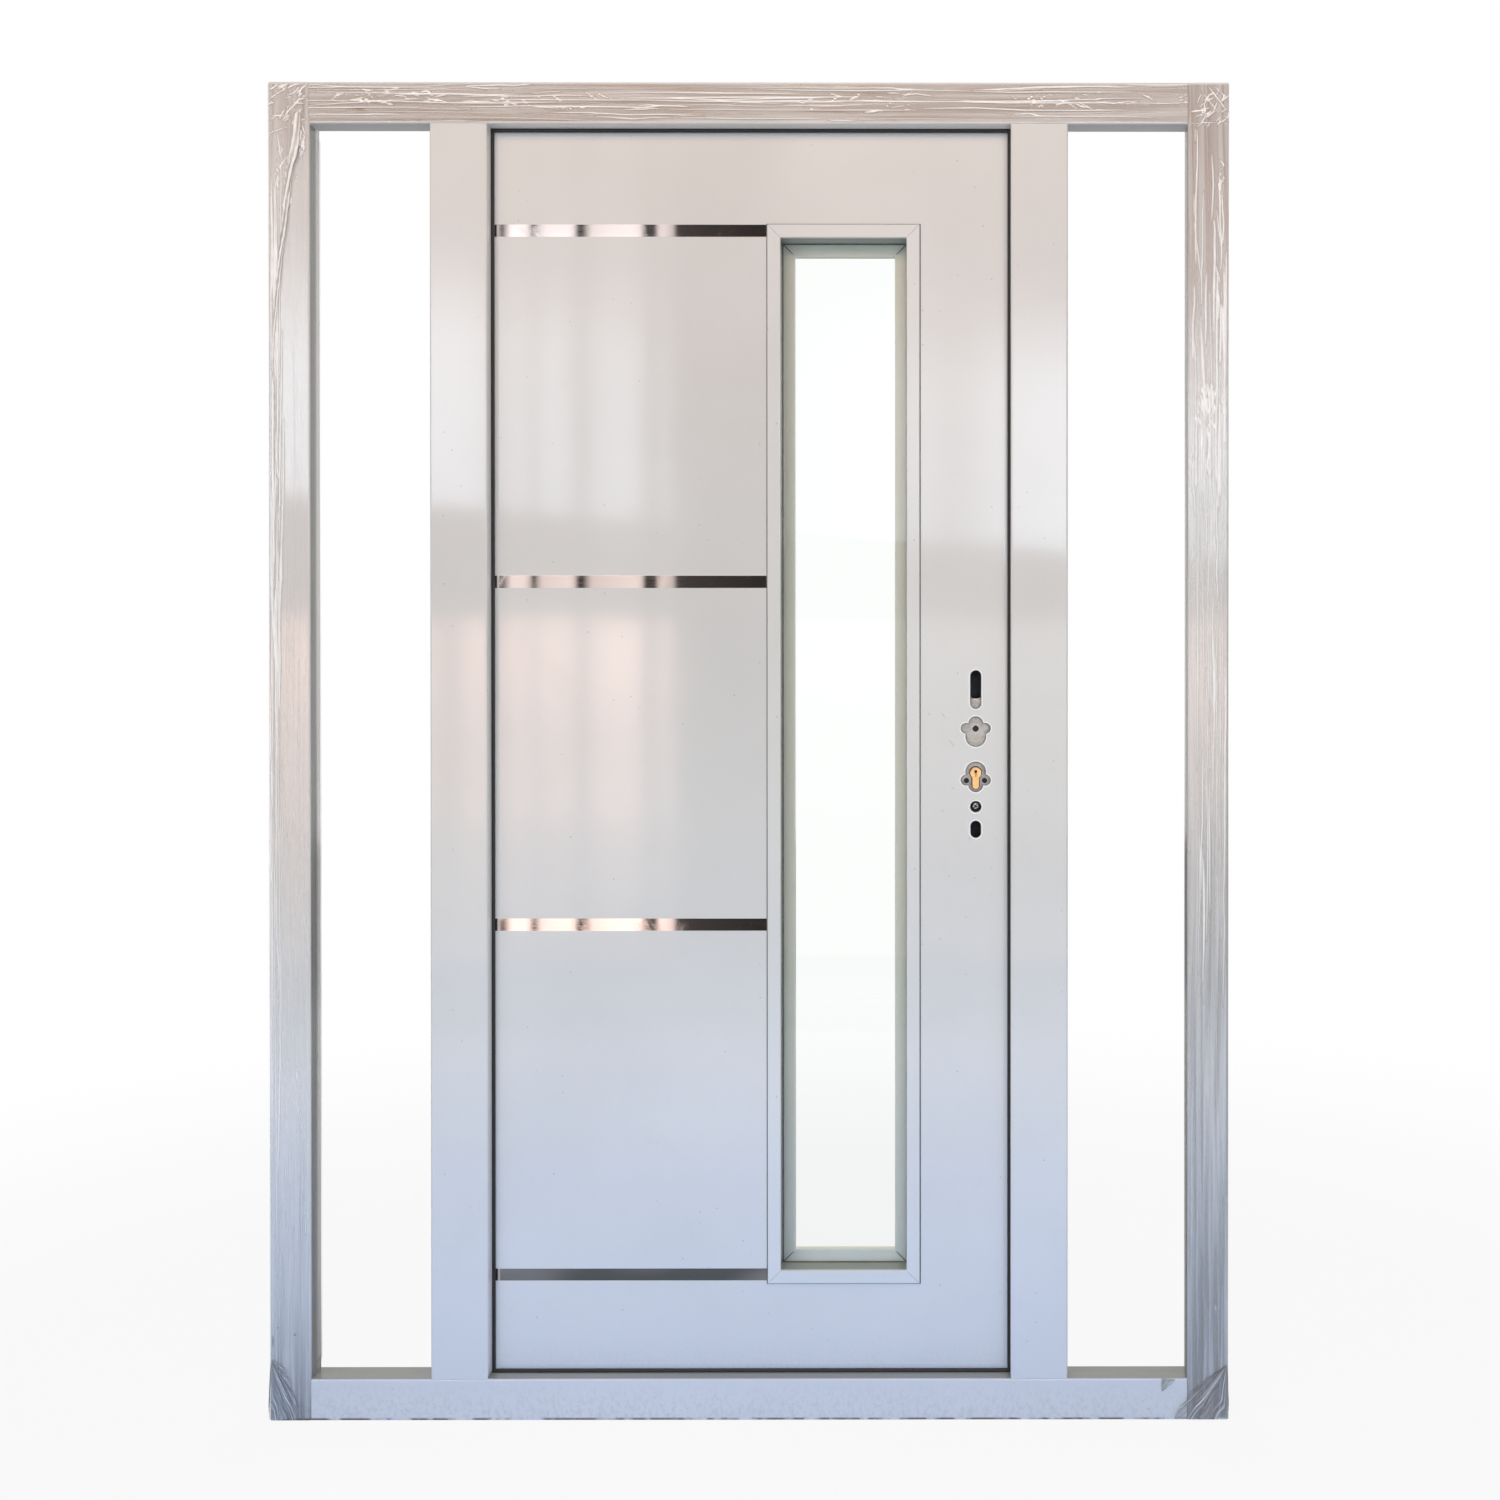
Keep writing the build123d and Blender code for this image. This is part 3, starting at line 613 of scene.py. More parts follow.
# Every sheet of film: its colours and streaks, its haze up the sheet as (height, haze), how many
# chance creases it has and how strong, and the creases that stand out, each as its width, its
# strength and then its points: height and distance in from the frame's side on the jambs, x and
# height on the head. A tuft is its middle, half sizes, count and angle.
wraps = {
    "left": {
        "seed": 4, "shade": (0.26, 0.27, 0.26), "streaks": 0.05,
        # The veil's colours by height are the film's tint and painted reflections: pale and pinkish bands
        # of reflected light, darker towards the bottom.
        "veil": [(0.0, (0.2, 0.21, 0.23)), (0.09, (0.34, 0.36, 0.38)), (0.25, (0.62, 0.63, 0.62)),
            (0.5, (0.95, 0.93, 0.9)), (1.0, (0.92, 0.84, 0.8)), (1.3, (0.95, 0.9, 0.88)),
            (1.6, (0.98, 0.98, 0.98)), (1.9, (0.8, 0.74, 0.71)), (2.0, (0.46, 0.37, 0.32))],
        "haze": [(0.0, 0.4), (0.08, 0.28), (0.2, 0.14), (0.5, 0.26), (1.2, 0.2), (1.35, 0.1),
            (1.8, 0.14), (2.0, 0.24), (2.05, 0.28)],
        "brightBands": [
            (30, (1.1, 1.8), (0.002, 0.019), (0.1, 0.4), 0.0014, (0.0006, 0.0011), (1.0, 2.2)),
            (24, (0.45, 1.25), (0.002, 0.02), (0.15, 0.5), 0.0012, (0.0006, 0.0012), (0.5, 1.1)),
            (6, (0.3, 1.9), (0.024, 0.06), (0.1, 0.4), 0.001, (0.0006, 0.0009), (0.15, 0.4)),
            (10, (0.12, 0.5), (0.003, 0.04), (0.08, 0.3), 0.0012, (0.0005, 0.0009), (0.2, 0.6))],
        "darkBands": [
            (7, (0.5, 1.9), (0.003, 0.02), (0.1, 0.4), 0.0014, (0.0006, 0.0011), (0.2, 0.5)),
            (8, (0.05, 0.5), (0.02, 0.06), (0.08, 0.3), 0.0009, (0.0006, 0.001), (0.2, 0.5))],
        "tufts": [(2.015, 0.03, 0.03, 0.03, 34, 0.9), (1.965, 0.048, 0.028, 0.009, 30, 0.3),
            (1.9, 0.026, 0.05, 0.014, 22, 0.12)],
        "glints": [(0.0014, 1.1, 1.976, 0.0138, 1.949, 0.0182, 1.934, 0.0192),
            (0.0008, 0.7, 1.893, 0.0228, 1.852, 0.0182),
            (0.0008, 0.6, 1.834, 0.0094, 1.768, 0.0063, 1.707, 0.0078),
            (0.0011, 1.6, 2.0365, 0.003, 2.046, 0.0165),
            (0.0011, 1.6, 2.0396, 0.0307, 2.047, 0.044), (0.0011, 1.6, 2.0319, 0.0445, 2.046, 0.06),
            (0.001, 1.4, 2.0227, 0.0015, 2.038, 0.0245), (0.001, 1.4, 2.044, 0.038, 2.047, 0.049),
            (0.001, 1.2, 1.9706, 0.0015, 1.981, 0.029),
            (0.0006, 0.35, 0.598, 0.0216, 0.415, 0.0553),
            (0.0012, 0.8, 0.537, 0.0415, 0.522, 0.0431), (0.001, 0.7, 0.315, 0.0553, 0.284, 0.0553)],
        "shades": [(0.001, 0.5, 0.415, 0.0474, 0.246, 0.0474, 0.1, 0.048),
            (0.0014, 1.0, 0.131, 0.0048, 0.113, 0.0048), (0.0014, 1.0, 0.132, 0.0369, 0.132, 0.04),
            (0.0012, 1.0, 0.143, 0.0124, 0.143, 0.014), (0.0012, 0.5, 2.044, 0.0534, 1.99, 0.054)]},
    "right": {
        "seed": 11, "shade": (0.3, 0.29, 0.28), "streaks": 0.08,
        # The veil's colours by height are the film's tint and painted reflections: pale and pinkish bands
        # of reflected light, darker towards the bottom.
        "veil": [(0.0, (0.3, 0.29, 0.27)), (0.15, (0.36, 0.35, 0.32)), (0.45, (0.48, 0.46, 0.43)),
            (0.85, (0.62, 0.58, 0.56)), (1.1, (0.92, 0.84, 0.82)), (1.3, (0.88, 0.86, 0.85)),
            (1.5, (0.97, 0.97, 0.97)), (1.75, (0.66, 0.58, 0.54)), (1.95, (0.44, 0.34, 0.29))],
        "haze": [(0.0, 0.46), (0.12, 0.42), (0.35, 0.34), (0.7, 0.26), (1.1, 0.28), (1.3, 0.3),
            (1.55, 0.48), (1.8, 0.3), (2.05, 0.34)],
        "brightBands": [
            (30, (1.42, 1.9), (0.005, 0.056), (0.06, 0.22), 0.0011, (0.0008, 0.0015), (1.2, 2.4)),
            (26, (0.75, 1.5), (0.006, 0.05), (0.15, 0.45), 0.0012, (0.0006, 0.0011), (0.6, 1.4)),
            (10, (0.15, 0.85), (0.01, 0.055), (0.1, 0.4), 0.001, (0.0006, 0.001), (0.2, 0.5))],
        "darkBands": [
            (8, (0.9, 1.9), (0.004, 0.06), (0.08, 0.3), 0.0014, (0.0006, 0.0012), (0.2, 0.5)),
            (14, (0.05, 0.8), (0.01, 0.036), (0.15, 0.5), 0.0009, (0.0007, 0.0013), (0.25, 0.6))],
        "tufts": [(2.01, 0.025, 0.032, 0.026, 34, -0.8), (1.9, 0.012, 0.04, 0.002, 12, 0.0),
            (1.56, 0.034, 0.05, 0.014, 30, 0.2)],
        "glints": [(0.0013, 1.0, 2.044, 0.0319, 2.006, 0.0028),
            (0.001, 0.9, 2.036, 0.0426, 1.997, 0.0104), (0.001, 0.9, 2.045, 0.0238, 2.024, 0.0012),
            (0.0009, 0.7, 1.987, 0.0625, 1.99, 0.0012), (0.0022, 0.6, 1.981, 0.0518, 1.958, 0.0518),
            (0.0022, 0.5, 1.879, 0.0534, 1.845, 0.0534),
            (0.0012, 0.9, 1.837, 0.0537, 1.742, 0.0417), (0.0012, 0.9, 1.859, 0.0196, 1.787, 0.011),
            (0.0018, 1.0, 1.773, 0.0212, 1.742, 0.0135), (0.0022, 0.8, 1.69, 0.0434, 1.534, 0.035),
            (0.0012, 0.7, 1.728, 0.0297, 1.534, 0.0247, 1.411, 0.0235),
            (0.0012, 1.0, 0.172, 0.0196, 0.168, 0.0196)],
        "shades": [(0.0012, 0.9, 1.672, 0.0015, 1.104, 0.0018, 0.185, 0.002),
            (0.0011, 0.6, 0.644, 0.0518, 0.062, 0.0503),
            (0.0013, 0.6, 0.798, 0.0411, 0.047, 0.0396),
            (0.0011, 0.5, 0.491, 0.0304, 0.077, 0.0319), (0.001, 0.6, 2.045, 0.0612, 1.992, 0.0612)]},
    "head": {
        "seed": 7, "veil": (0.44, 0.34, 0.27), "shade": (0.32, 0.21, 0.15), "streaks": 0.22,
        "haze": 0.26,
        "brightBands": [
            (76, (-0.67, 0.67), (1.991, 2.046), (0.04, 0.36), 0.0013, (0.0006, 0.001), (0.6, 1.8))],
        "darkBands": [
            (40, (-0.67, 0.67), (1.991, 2.046), (0.04, 0.36), 0.0013, (0.0007, 0.0016), (0.15, 0.6))],
        "glints": [(0.001, 1.0, -0.67, 2.0141, -0.514, 2.0231),
            (0.001, 0.9, -0.575, 2.0306, -0.526, 2.0427),
            (0.0009, 0.8, -0.569, 2.0275, -0.545, 2.0321),
            (0.0009, 0.9, -0.511, 2.0427, -0.442, 2.0458),
            (0.001, 1.0, 0.662, 2.0257, 0.654, 2.0318), (0.001, 1.0, 0.662, 2.0257, 0.671, 2.018),
            (0.001, 1.0, 0.662, 2.0257, 0.671, 2.0334), (0.001, 1.0, 0.662, 2.0257, 0.656, 2.0165)],
        "tufts": [(-0.55, 2.026, 0.09, 0.012, 34, 0.12), (-0.3, 2.02, 0.1, 0.014, 16, -0.1),
            (0.16, 2.02, 0.12, 0.016, 18, 0.1), (0.52, 2.022, 0.12, 0.014, 22, 0.1)],
        "shades": [(0.0026, 1.0, -0.611, 2.0104, -0.586, 2.0073)]},
    "lift": 0.0012}


# Film by the fields of its creases. Its veil is one colour, or colours by height up a jamb whose
# highest place is top; how goes to gridMesh.
def placeFilm(name, points, flow, glint, shade, veil, v, streaks, roughness=0.16, top=2.05, **how):
    title = name[0].upper() + name[1:]
    material, tree, output = newMaterial("film" + title.replace("Wrap", ""))
    spot = put(tree, "UVMap", uv_map="flow").outputs[0]
    fields = {field: put(tree, "Attribute", attribute_name=field.lower()).outputs["Fac"]
              for field in ("Glint", "Shade", "Veil")}
    creases = useGroup(filmCreases, {"Vector": spot, "Streaks": streaks, **fields})
    colour = v["veil"]
    if isinstance(colour, list):
        level = calc("DIVIDE", axes(spot)["X"], top)
        colour = ramp(level, [(height / top, tone) for height, tone in colour])
    # Painted shade along the dark creases, then painted highlights along the bright ones.
    colour = blendColours(creases["Dark"], colour, v["shade"])
    colour = blendColours(creases["Light"], colour, (0.97, 0.97, 0.97))
    principled(tree, output, {"Base Color": colour, "Roughness": roughness, "IOR": 1.5,
                              "Alpha": creases["Cover"], "Normal": bumpFrom(creases["Height"])})
    mesh = gridMesh(name, points, flow, {"glint": glint, "shade": shade, "veil": veil}, **how)
    return place(name, mesh, material, "frame")


# Even turns round a circle, how far along its path each point lies, and unit tangents.
def turns(count):
    return np.linspace(0, 2 * np.pi, count, endpoint=False)


def reaches(points):
    return np.concatenate([[0], np.cumsum(np.linalg.norm(np.diff(points, axis=0), axis=1))])


def tangents(line):
    tangent = np.gradient(line, axis=0)
    return tangent / np.linalg.norm(tangent, axis=1)[:, None]


# Points of a path at given reaches, with corners rounded by an average over nearby reaches.
def along(path, at, around, samples=9):
    near = np.linspace(-around, around, samples)[:, None]
    return np.stack([np.interp(at + near, reaches(path), path[:, k]).mean(0) for k in (0, 1)], -1)


# Strength of creases at every point of a sheet: each is a line through a few points, and the
# distance to it goes through a bell curve that fades at the line's ends; where creases meet,
# the stronger counts.
def creaseField(s, t, lines):
    field = np.zeros(s.shape)
    for width, strength, *points in lines:
        points = np.reshape(points, (-1, 2))
        for k, ((s0, t0), (s1, t1)) in enumerate(zip(points, points[1:])):
            run, rise = s1 - s0, t1 - t0
            part = np.clip(((s - s0) * run + (t - t0) * rise) / (run ** 2 + rise ** 2), 0, 1)
            apart = (s - s0 - part * run) ** 2 + (t - t0 - part * rise) ** 2
            fade = np.sin(np.pi * np.clip((k + part) / (len(points) - 1), 0.02, 0.98)) ** 0.35
            field = np.maximum(field, strength * fade * np.exp(-apart / width ** 2))
    return field


# Chance creases along a sheet, each wandering a little to the side between its ends. Every band
# is (count, from and to along the sheet, from and to across it, length, wander, width, strength).
def strayCreases(rng, bands):
    lines = []
    for count, down, across, length, wander, width, strength in bands:
        for middle, side, half in zip(rng.uniform(*down, count), rng.uniform(*across, count),
                                      rng.uniform(*length, count) / 2):
            s = np.linspace(middle - half, middle + half, 5)
            t = side + np.cumsum(rng.normal(0, wander, 5))
            lines.append((rng.uniform(*width), rng.uniform(*strength), np.stack([s, t], -1)))
    return lines


# A tuft: short strong creases inside an oval, most of them at about one angle, painted as glints.
def tuftCreases(rng, s, t, wide, tall, count, angle):
    lines = []
    for turn, reach, heading in zip(rng.uniform(0, 2 * np.pi, count), rng.uniform(0, 1, count) ** 0.5,
                                    rng.normal(angle, 0.45, count)):
        middle = np.array([s + wide * reach * np.cos(turn), t + tall * reach * np.sin(turn)])
        half = rng.uniform(0.003, 0.011) * np.array([np.cos(heading), np.sin(heading)])
        bend = rng.normal(0, 0.0012, 2)
        lines.append((rng.uniform(0.0006, 0.0012), rng.uniform(0.8, 1.7),
                      np.array([middle - half, middle + bend, middle + half])))
    return lines


# Runs together stretches of even steps, each (from, to, step), into one row of values.
def evenSteps(*parts):
    return np.concatenate([np.arange(a, b, step) for a, b, step in parts] + [[parts[-1][1]]])


# Glint and shade of a sheet, its slow waves, which are a sine across it whose place wanders along
# it, and how far its surface is lifted: with the creases, and a little with the waves.
def sheetFields(v, ss, ts):
    rng = np.random.default_rng(v["seed"])
    glint = creaseField(ss, ts, v["glints"] + strayCreases(rng, v["brightBands"]))
    for s, t, wide, tall, count, angle in v["tufts"]:
        glint = np.maximum(glint, creaseField(ss, ts, tuftCreases(rng, s, t, wide, tall, count, angle)))
    shade = creaseField(ss, ts, v["shades"] + strayCreases(rng, v["darkBands"]))
    slow = 0.5 + 0.5 * np.sin(ts * 210 + 1.7 * np.sin(ss * 5 + v["seed"]))
    lift = wraps["lift"] * (glint + 0.5 * shade) + 0.0003 * slow
    return glint, shade, slow, lift


# The wrap of a jamb: its section, how far it comes forward and back, and where its steps and its
# dark reveal begin and end, by reach along the section or by height.
jambWrap = {
    "section": [(0, -0.0407), (0.0637, -0.0407), (0.0637, -0.0150), (0.0487, 0.0407), (0, 0.0407)],
    "side": 0.735, "rounding": 0.0016, "fine": 0.066, "front": 0.0645, "back": (0.064, 1.986),
    "reveal": (0.0650, 0.100), "bottom": 0.003, "foot": 0.15, "shoulder": 1.92, "top": 2.047}


# A jamb's wrap: its section runs across the face, round the stop and slantwise to the back,
# with rounded corners, and is carried up the jamb; creases lift it along its outward side.
def wrapJamb(side):
    v, j = wraps[side], jambWrap
    sign = -1 if side == "left" else 1
    corner = np.array(j["section"])
    legs = reaches(corner)
    turn, end = legs[2] + 0.002, legs[4]
    t = evenSteps((0, j["fine"], 0.001), (j["fine"], turn, 0.0027), (turn, end, 0.005))
    path = along(corner, t, j["rounding"])
    path[0], path[-1] = corner[0], corner[-1]
    tangent = tangents(path)
    outward = np.stack([tangent[:, 1], -tangent[:, 0]], -1)
    z = evenSteps((j["bottom"], j["foot"], 0.0014), (j["foot"], j["shoulder"], 0.0055),
                  (j["shoulder"], j["top"], 0.0014))
    zs, ts = np.meshgrid(z, t, indexing="ij")
    glint, shade, slow, lift = sheetFields(v, zs, ts)
    veil = np.interp(zs, *zip(*v["haze"])) * (0.8 + 0.4 * slow)
    first, last = j["reveal"]
    # Painted shade on the reveal behind the stop.
    shade = np.maximum(shade, np.clip((ts - first) / 0.0012, 0, 1) * np.clip((last - ts) / 0.012, 0, 1))
    lift *= np.clip((end - ts) / 0.03, 0, 1)
    spot = path[None] + outward[None] * lift[..., None]
    points = np.stack([sign * (j["side"] - spot[..., 0]), spot[..., 1], zs], -1)
    flow = np.stack([zs, ts + 0.004 * np.sin(zs * 3.1 + v["seed"]) + 0.002 * np.sin(zs * 8.3)], -1)
    quadZ, quadT = (zs[1:, 1:] + zs[:-1, :-1]) / 2, (ts[1:, 1:] + ts[:-1, :-1]) / 2
    keep = (quadT < j["front"]) | ((quadZ > j["back"][0]) & (quadZ < j["back"][1]))
    wrap = placeFilm("wrap" + side.capitalize(), points, flow, glint, shade, veil, v, v["streaks"],
                     keep=keep, facing=(-0.3 * sign, -1, 0))
    return wrap, (float(end), 2.044)


headWrap = {"half": 0.672, "low": 1.990, "high": 2.047, "lie": -0.0408}


# The head's wrap: a flat sheet between the jambs' wraps, lifted by its creases.
def wrapHead():
    v, h = wraps["head"], headWrap
    x, z = evenSteps((-h["half"], h["half"], 0.004)), evenSteps((h["low"], h["high"], 0.001))
    zs, xs = np.meshgrid(z, x, indexing="ij")
    glint, shade, slow, lift = sheetFields(v, xs, zs)
    points = np.stack([xs, h["lie"] - lift, zs], -1)
    flow = np.stack([xs, zs + 0.003 * np.sin(xs * 4.3) + 0.001 * np.sin(xs * 13)], -1)
    wrap = placeFilm("wrapHead", points, flow, glint, shade, v["haze"] * (0.75 + 0.5 * slow),
                     v, v["streaks"], facing=(0, -1, 0))
    return wrap, (1.344, 0.057)


# Film gathered at a jamb's foot: a fan from a point to an end line, whose pleats rise between
# the two; us runs along the pleats and vs across them.
bunches = {
    "bunchLeft": {
        "from": (-0.7325, 0.093), "depth": 0.0036, "pleats": (7, 31), "lie": -0.0424,
        "end": [(-0.7349, 0.06), (-0.7349, 0.003), (-0.712, 0.0032), (-0.6889, 0.0032),
            (-0.6901, 0.019), (-0.7023, 0.059), (-0.7111, 0.081), (-0.729, 0.096)],
        "veil": (0.34, 0.36, 0.38), "shade": (0.17, 0.18, 0.19), "seed": 2, "haze": 0.66},
    "bunchRight": {
        "from": (0.733, 0.085), "depth": 0.0042, "pleats": (6, 27), "lie": -0.0424,
        "end": [(0.7349, 0.06), (0.7349, 0.003), (0.69, 0.0032), (0.651, 0.0032), (0.655, 0.013),
            (0.6662, 0.029), (0.6755, 0.044), (0.6996, 0.063), (0.7295, 0.084)],
        "veil": (0.36, 0.34, 0.32), "shade": (0.19, 0.17, 0.155), "seed": 5, "haze": 0.66}}


def bunchedFilm(name):
    v = bunches[name]
    rng = np.random.default_rng(v["seed"])
    end = np.array(v["end"])
    reach = reaches(end)[-1]
    us, vs = np.meshgrid(np.linspace(0.02, 1, 46), np.linspace(0, 1, 240), indexing="ij")
    rim = np.stack([np.interp(vs * reach, reaches(end), end[:, k]) for k in (0, 1)], -1)
    bent = vs + 0.012 * np.sin(us * 5 + vs * 17) + 0.006 * np.sin(us * 13 + vs * 41)
    few, many = v["pleats"]
    fold = 0.6 * np.abs(np.sin(np.pi * few * bent + rng.uniform(0, 3)))
    fold += 0.4 * np.abs(np.sin(np.pi * many * bent + 2.0 * np.sin(us * 4)))
    rise = v["depth"] * fold * us ** 0.7 * np.clip((1 - vs) * 14, 0, 1) * np.clip(vs * 14, 0, 1)
    first = np.array(v["from"])
    flat = first + us[..., None] * (rim - first)
    points = np.stack([flat[..., 0], v["lie"] - rise, flat[..., 1]], -1)
    flow = np.stack([us * 0.09, bent * reach], -1)
    # Painted highlights on the pleats' crests and painted shade in their hollows.
    glint = np.clip((fold - 0.84) * 6, 0, 1) * 0.6
    shade = np.clip((0.40 - fold) * 2.6, 0, 1) * 0.8
    veil = v["haze"] * (0.75 + 0.5 * np.sin(vs * 29 + 3 * us))
    return placeFilm(name, points, flow, glint, shade, veil, v, 0.5, roughness=0.2, facing=(0, -1, 0))


# The rolled edge of the left wrap: a section of three soft lobes that turns as it is carried
# down a smooth path, thick at the knot near its top and fading to a thread.
roll = {
    "path": [(-0.6885, 2.012), (-0.6879, 1.999), (-0.691, 1.949), (-0.7016, 1.901), (-0.706, 1.858),
        (-0.7106, 1.813), (-0.7168, 1.768), (-0.7227, 1.692), (-0.7258, 1.632), (-0.7241, 1.518),
        (-0.7195, 1.38), (-0.7164, 1.227)],
    "radius": [0.0, 0.0047, 0.005, 0.004, 0.0036, 0.0032, 0.0028, 0.0022, 0.0018, 0.0013, 0.0009,
        0.0],
    "lie": -0.0412, "rounding": 0.02, "haze": 0.72, "veil": (0.86, 0.83, 0.8),
    "shade": (0.42, 0.34, 0.28)}


def rolledEdge():
    path = np.array(roll["path"])
    at = np.linspace(0, reaches(path)[-1], 330)
    line = along(path, at, roll["rounding"])
    radius = np.interp(at, reaches(path), roll["radius"])
    tangent = tangents(line)
    ss, angles = np.meshgrid(at, turns(18), indexing="ij")
    crest = np.cos(3 * angles + ss * 60)
    lobes = 1 + 0.22 * crest + 0.10 * np.cos(2 * angles - ss * 97) + 0.10 * np.sin(ss * 260)
    size = radius[:, None] * lobes
    aside = size * np.cos(angles)
    points = np.stack([line[:, None, 0] + aside * tangent[:, None, 1],
                       roll["lie"] - radius[:, None] - size * np.sin(angles) * 0.9,
                       line[:, None, 1] - aside * tangent[:, None, 0]], -1)
    # Painted highlights on the lobes' crests and painted shade between them.
    glint, shade = np.clip(crest * 2.2, 0, 1) ** 1.5, np.clip(-crest, 0, 1) ** 2 * 0.8
    return placeFilm("wrapRoll", points, np.stack([ss, angles * 0.002], -1), glint, shade,
                     np.full(ss.shape, roll["haze"]), roll, 0.5, joinColumns=True, weld=True)


# A torn scrap that hangs from the sill's top edge and narrows to a point as it curls outwards.
scrap = {"left": 0.6325, "right": 0.6530, "top": 0.0640, "tip": 0.0445, "lie": -0.0409, "curl": 0.0035,
         "haze": 0.62, "veil": (0.36, 0.38, 0.33), "shade": (0.20, 0.20, 0.18)}


def tornScrap():
    v = scrap
    us, vs = np.meshgrid(np.linspace(0, 1, 26), np.linspace(0, 1, 22), indexing="ij")
    width = (v["right"] - v["left"]) * (1 - us) ** 0.8 * (1 + 0.12 * np.sin(us * 19) * us) + 0.0012
    z = v["top"] - us * (v["top"] - v["tip"]) * (1 - 0.10 * vs) - 0.0022 * vs * (1 - us)
    out = v["curl"] * us ** 1.5 * (0.4 + vs) + 0.0006 * np.sin(vs * 14 + us * 6) * us
    points = np.stack([v["left"] + vs * width, v["lie"] - out, z], -1)
    # Painted highlights on its ripples; it is darker along its left edge.
    return placeFilm("wrapScrap", points, np.stack([us * 0.02, vs * width], -1),
                     np.clip(np.sin(vs * 14 + us * 6) - 0.7, 0, 1), 0.5 * np.clip(0.3 - vs, 0, 1),
                     np.full(us.shape, v["haze"]), v, 0.4, facing=(0, -1, 0))


wrapLeft, leftCut = wrapJamb("left")
wrapRight, rightCut = wrapJamb("right")
headSheet, headCut = wrapHead()
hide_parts("film_left")
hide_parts("film_right")
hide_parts("film_head")
bunchedFilm("bunchLeft")
rolledEdge()
bunchedFilm("bunchRight")
tornScrap()
print("film wraps made")

# Small pieces round the lock and the visor.

# Rounded outlines, each as points round a middle. The far side of several circles is, along each
# ray from the middle, the furthest crossing with any of them. A clover is that of four circles;
# a slot is two half circles drawn apart.
def farSide(ray, reach, circles):
    for x, z, radius in circles:
        middle = np.array([x, z])
        near = ray @ middle
        room = radius ** 2 - middle @ middle + near ** 2
        reach = np.maximum(reach, np.where(room > 0, near + np.sqrt(np.abs(room)), 0))
    return ray * reach[:, None]


def cloverOutline(level, turn, count=150):
    ray = np.stack([np.cos(turns(count)), np.sin(turns(count))], -1)
    circles = [(x, turn * z - turn * 0.008, radius) for x, z, radius in lock["clover"]]
    return farSide(ray, np.zeros(count), circles) + [lock["x"], level + turn * 0.008]


def slotOutline(level, wide, tall, count=72):
    angle = turns(count)
    z = np.sin(angle) * wide / 2 + np.where(np.sin(angle) >= 0, 1, -1) * (tall - wide) / 2
    return np.stack([np.cos(angle) * wide / 2 + lock["x"], z + level], -1)


# The cylinder's outline grown by a margin: the far side of its round part and of circles set
# down its foot, as seen from the round part's middle.
def keyholeOutline(grow, count=150):
    ray = np.stack([np.cos(turns(count)), np.sin(turns(count))], -1)
    circles = [(0, -fall, 0.005 + grow) for fall in np.linspace(0, 0.0195, 40)]
    return farSide(ray, np.full(count, 0.0085 + grow), circles) + [lock["x"], lock["cylinderLevel"]]


# The way out from a closed outline at each of its points.
def outwardOf(outline):
    step = np.roll(outline, -1, 0) - np.roll(outline, 1, 0)
    way = np.stack([step[:, 1], -step[:, 0]], -1)
    return way / np.linalg.norm(way, axis=1)[:, None]


# A bead carried round an outline in a plane of equal y: an oval as wide and as tall as given,
# with its middle a distance out from the outline and its top towards the viewer.
def beadPoints(outline, way, out, wide, tall, y, around=10):
    angle = turns(around)[:, None]
    aside = out + wide / 2 * np.cos(angle)
    flat = outline[None] + way[None] * aside[..., None]
    height = np.broadcast_to(y - tall * np.sin(angle), flat.shape[:2])
    return np.stack([flat[..., 0], height, flat[..., 1]], -1)


# A domed disc on any outline: rows run from its middle over a rounded edge to the back.
def domePoints(outline, middle, y, tall, thick, rows=14):
    share = np.linspace(0, 1, rows)[:, None]
    size = np.minimum(1, share * 1.35)
    front = tall * np.sqrt(np.clip(1 - (size * 0.97) ** 2, 0, 1)) * (share < 0.75)
    back = np.where(share < 0.75, 0, thick * (share - 0.75) / 0.25)
    size = np.where(share < 0.9, size, (1 - share) / 0.1)
    flat = np.array(middle) + (outline[None] - middle) * size[..., None]
    height = np.broadcast_to(y - front + back, flat.shape[:2])
    return np.stack([flat[..., 0], height, flat[..., 1]], -1)


# A screw head with a cross slot: a dome whose height drops inside two crossed bars near its
# middle; rows run from the middle out, and the sides go down to what it sits on.
def screwPoints(x, y, z, radius, tall, turn=0.4, toward=-1, rows=16, around=40):
    share, angle = np.meshgrid(np.linspace(0, 1, rows), turns(around), indexing="ij")
    size = np.minimum(1, share * 1.12)
    a, b = size * np.cos(angle + turn), size * np.sin(angle + turn)
    bars = np.maximum(np.clip(1.6 - np.abs(a) * 9, 0, 1) * np.clip(6 - np.abs(b) * 11, 0, 1),
                      np.clip(1.6 - np.abs(b) * 9, 0, 1) * np.clip(6 - np.abs(a) * 11, 0, 1))
    height = tall * (np.sqrt(np.clip(1 - (size * 0.96) ** 2, 0, 1)) - 0.28) - tall * 0.75 * bars
    height = np.where(share > 0.9, -0.0002, height)
    return np.stack([x + radius * size * np.cos(angle), y + toward * height,
                     z + radius * size * np.sin(angle)], -1)


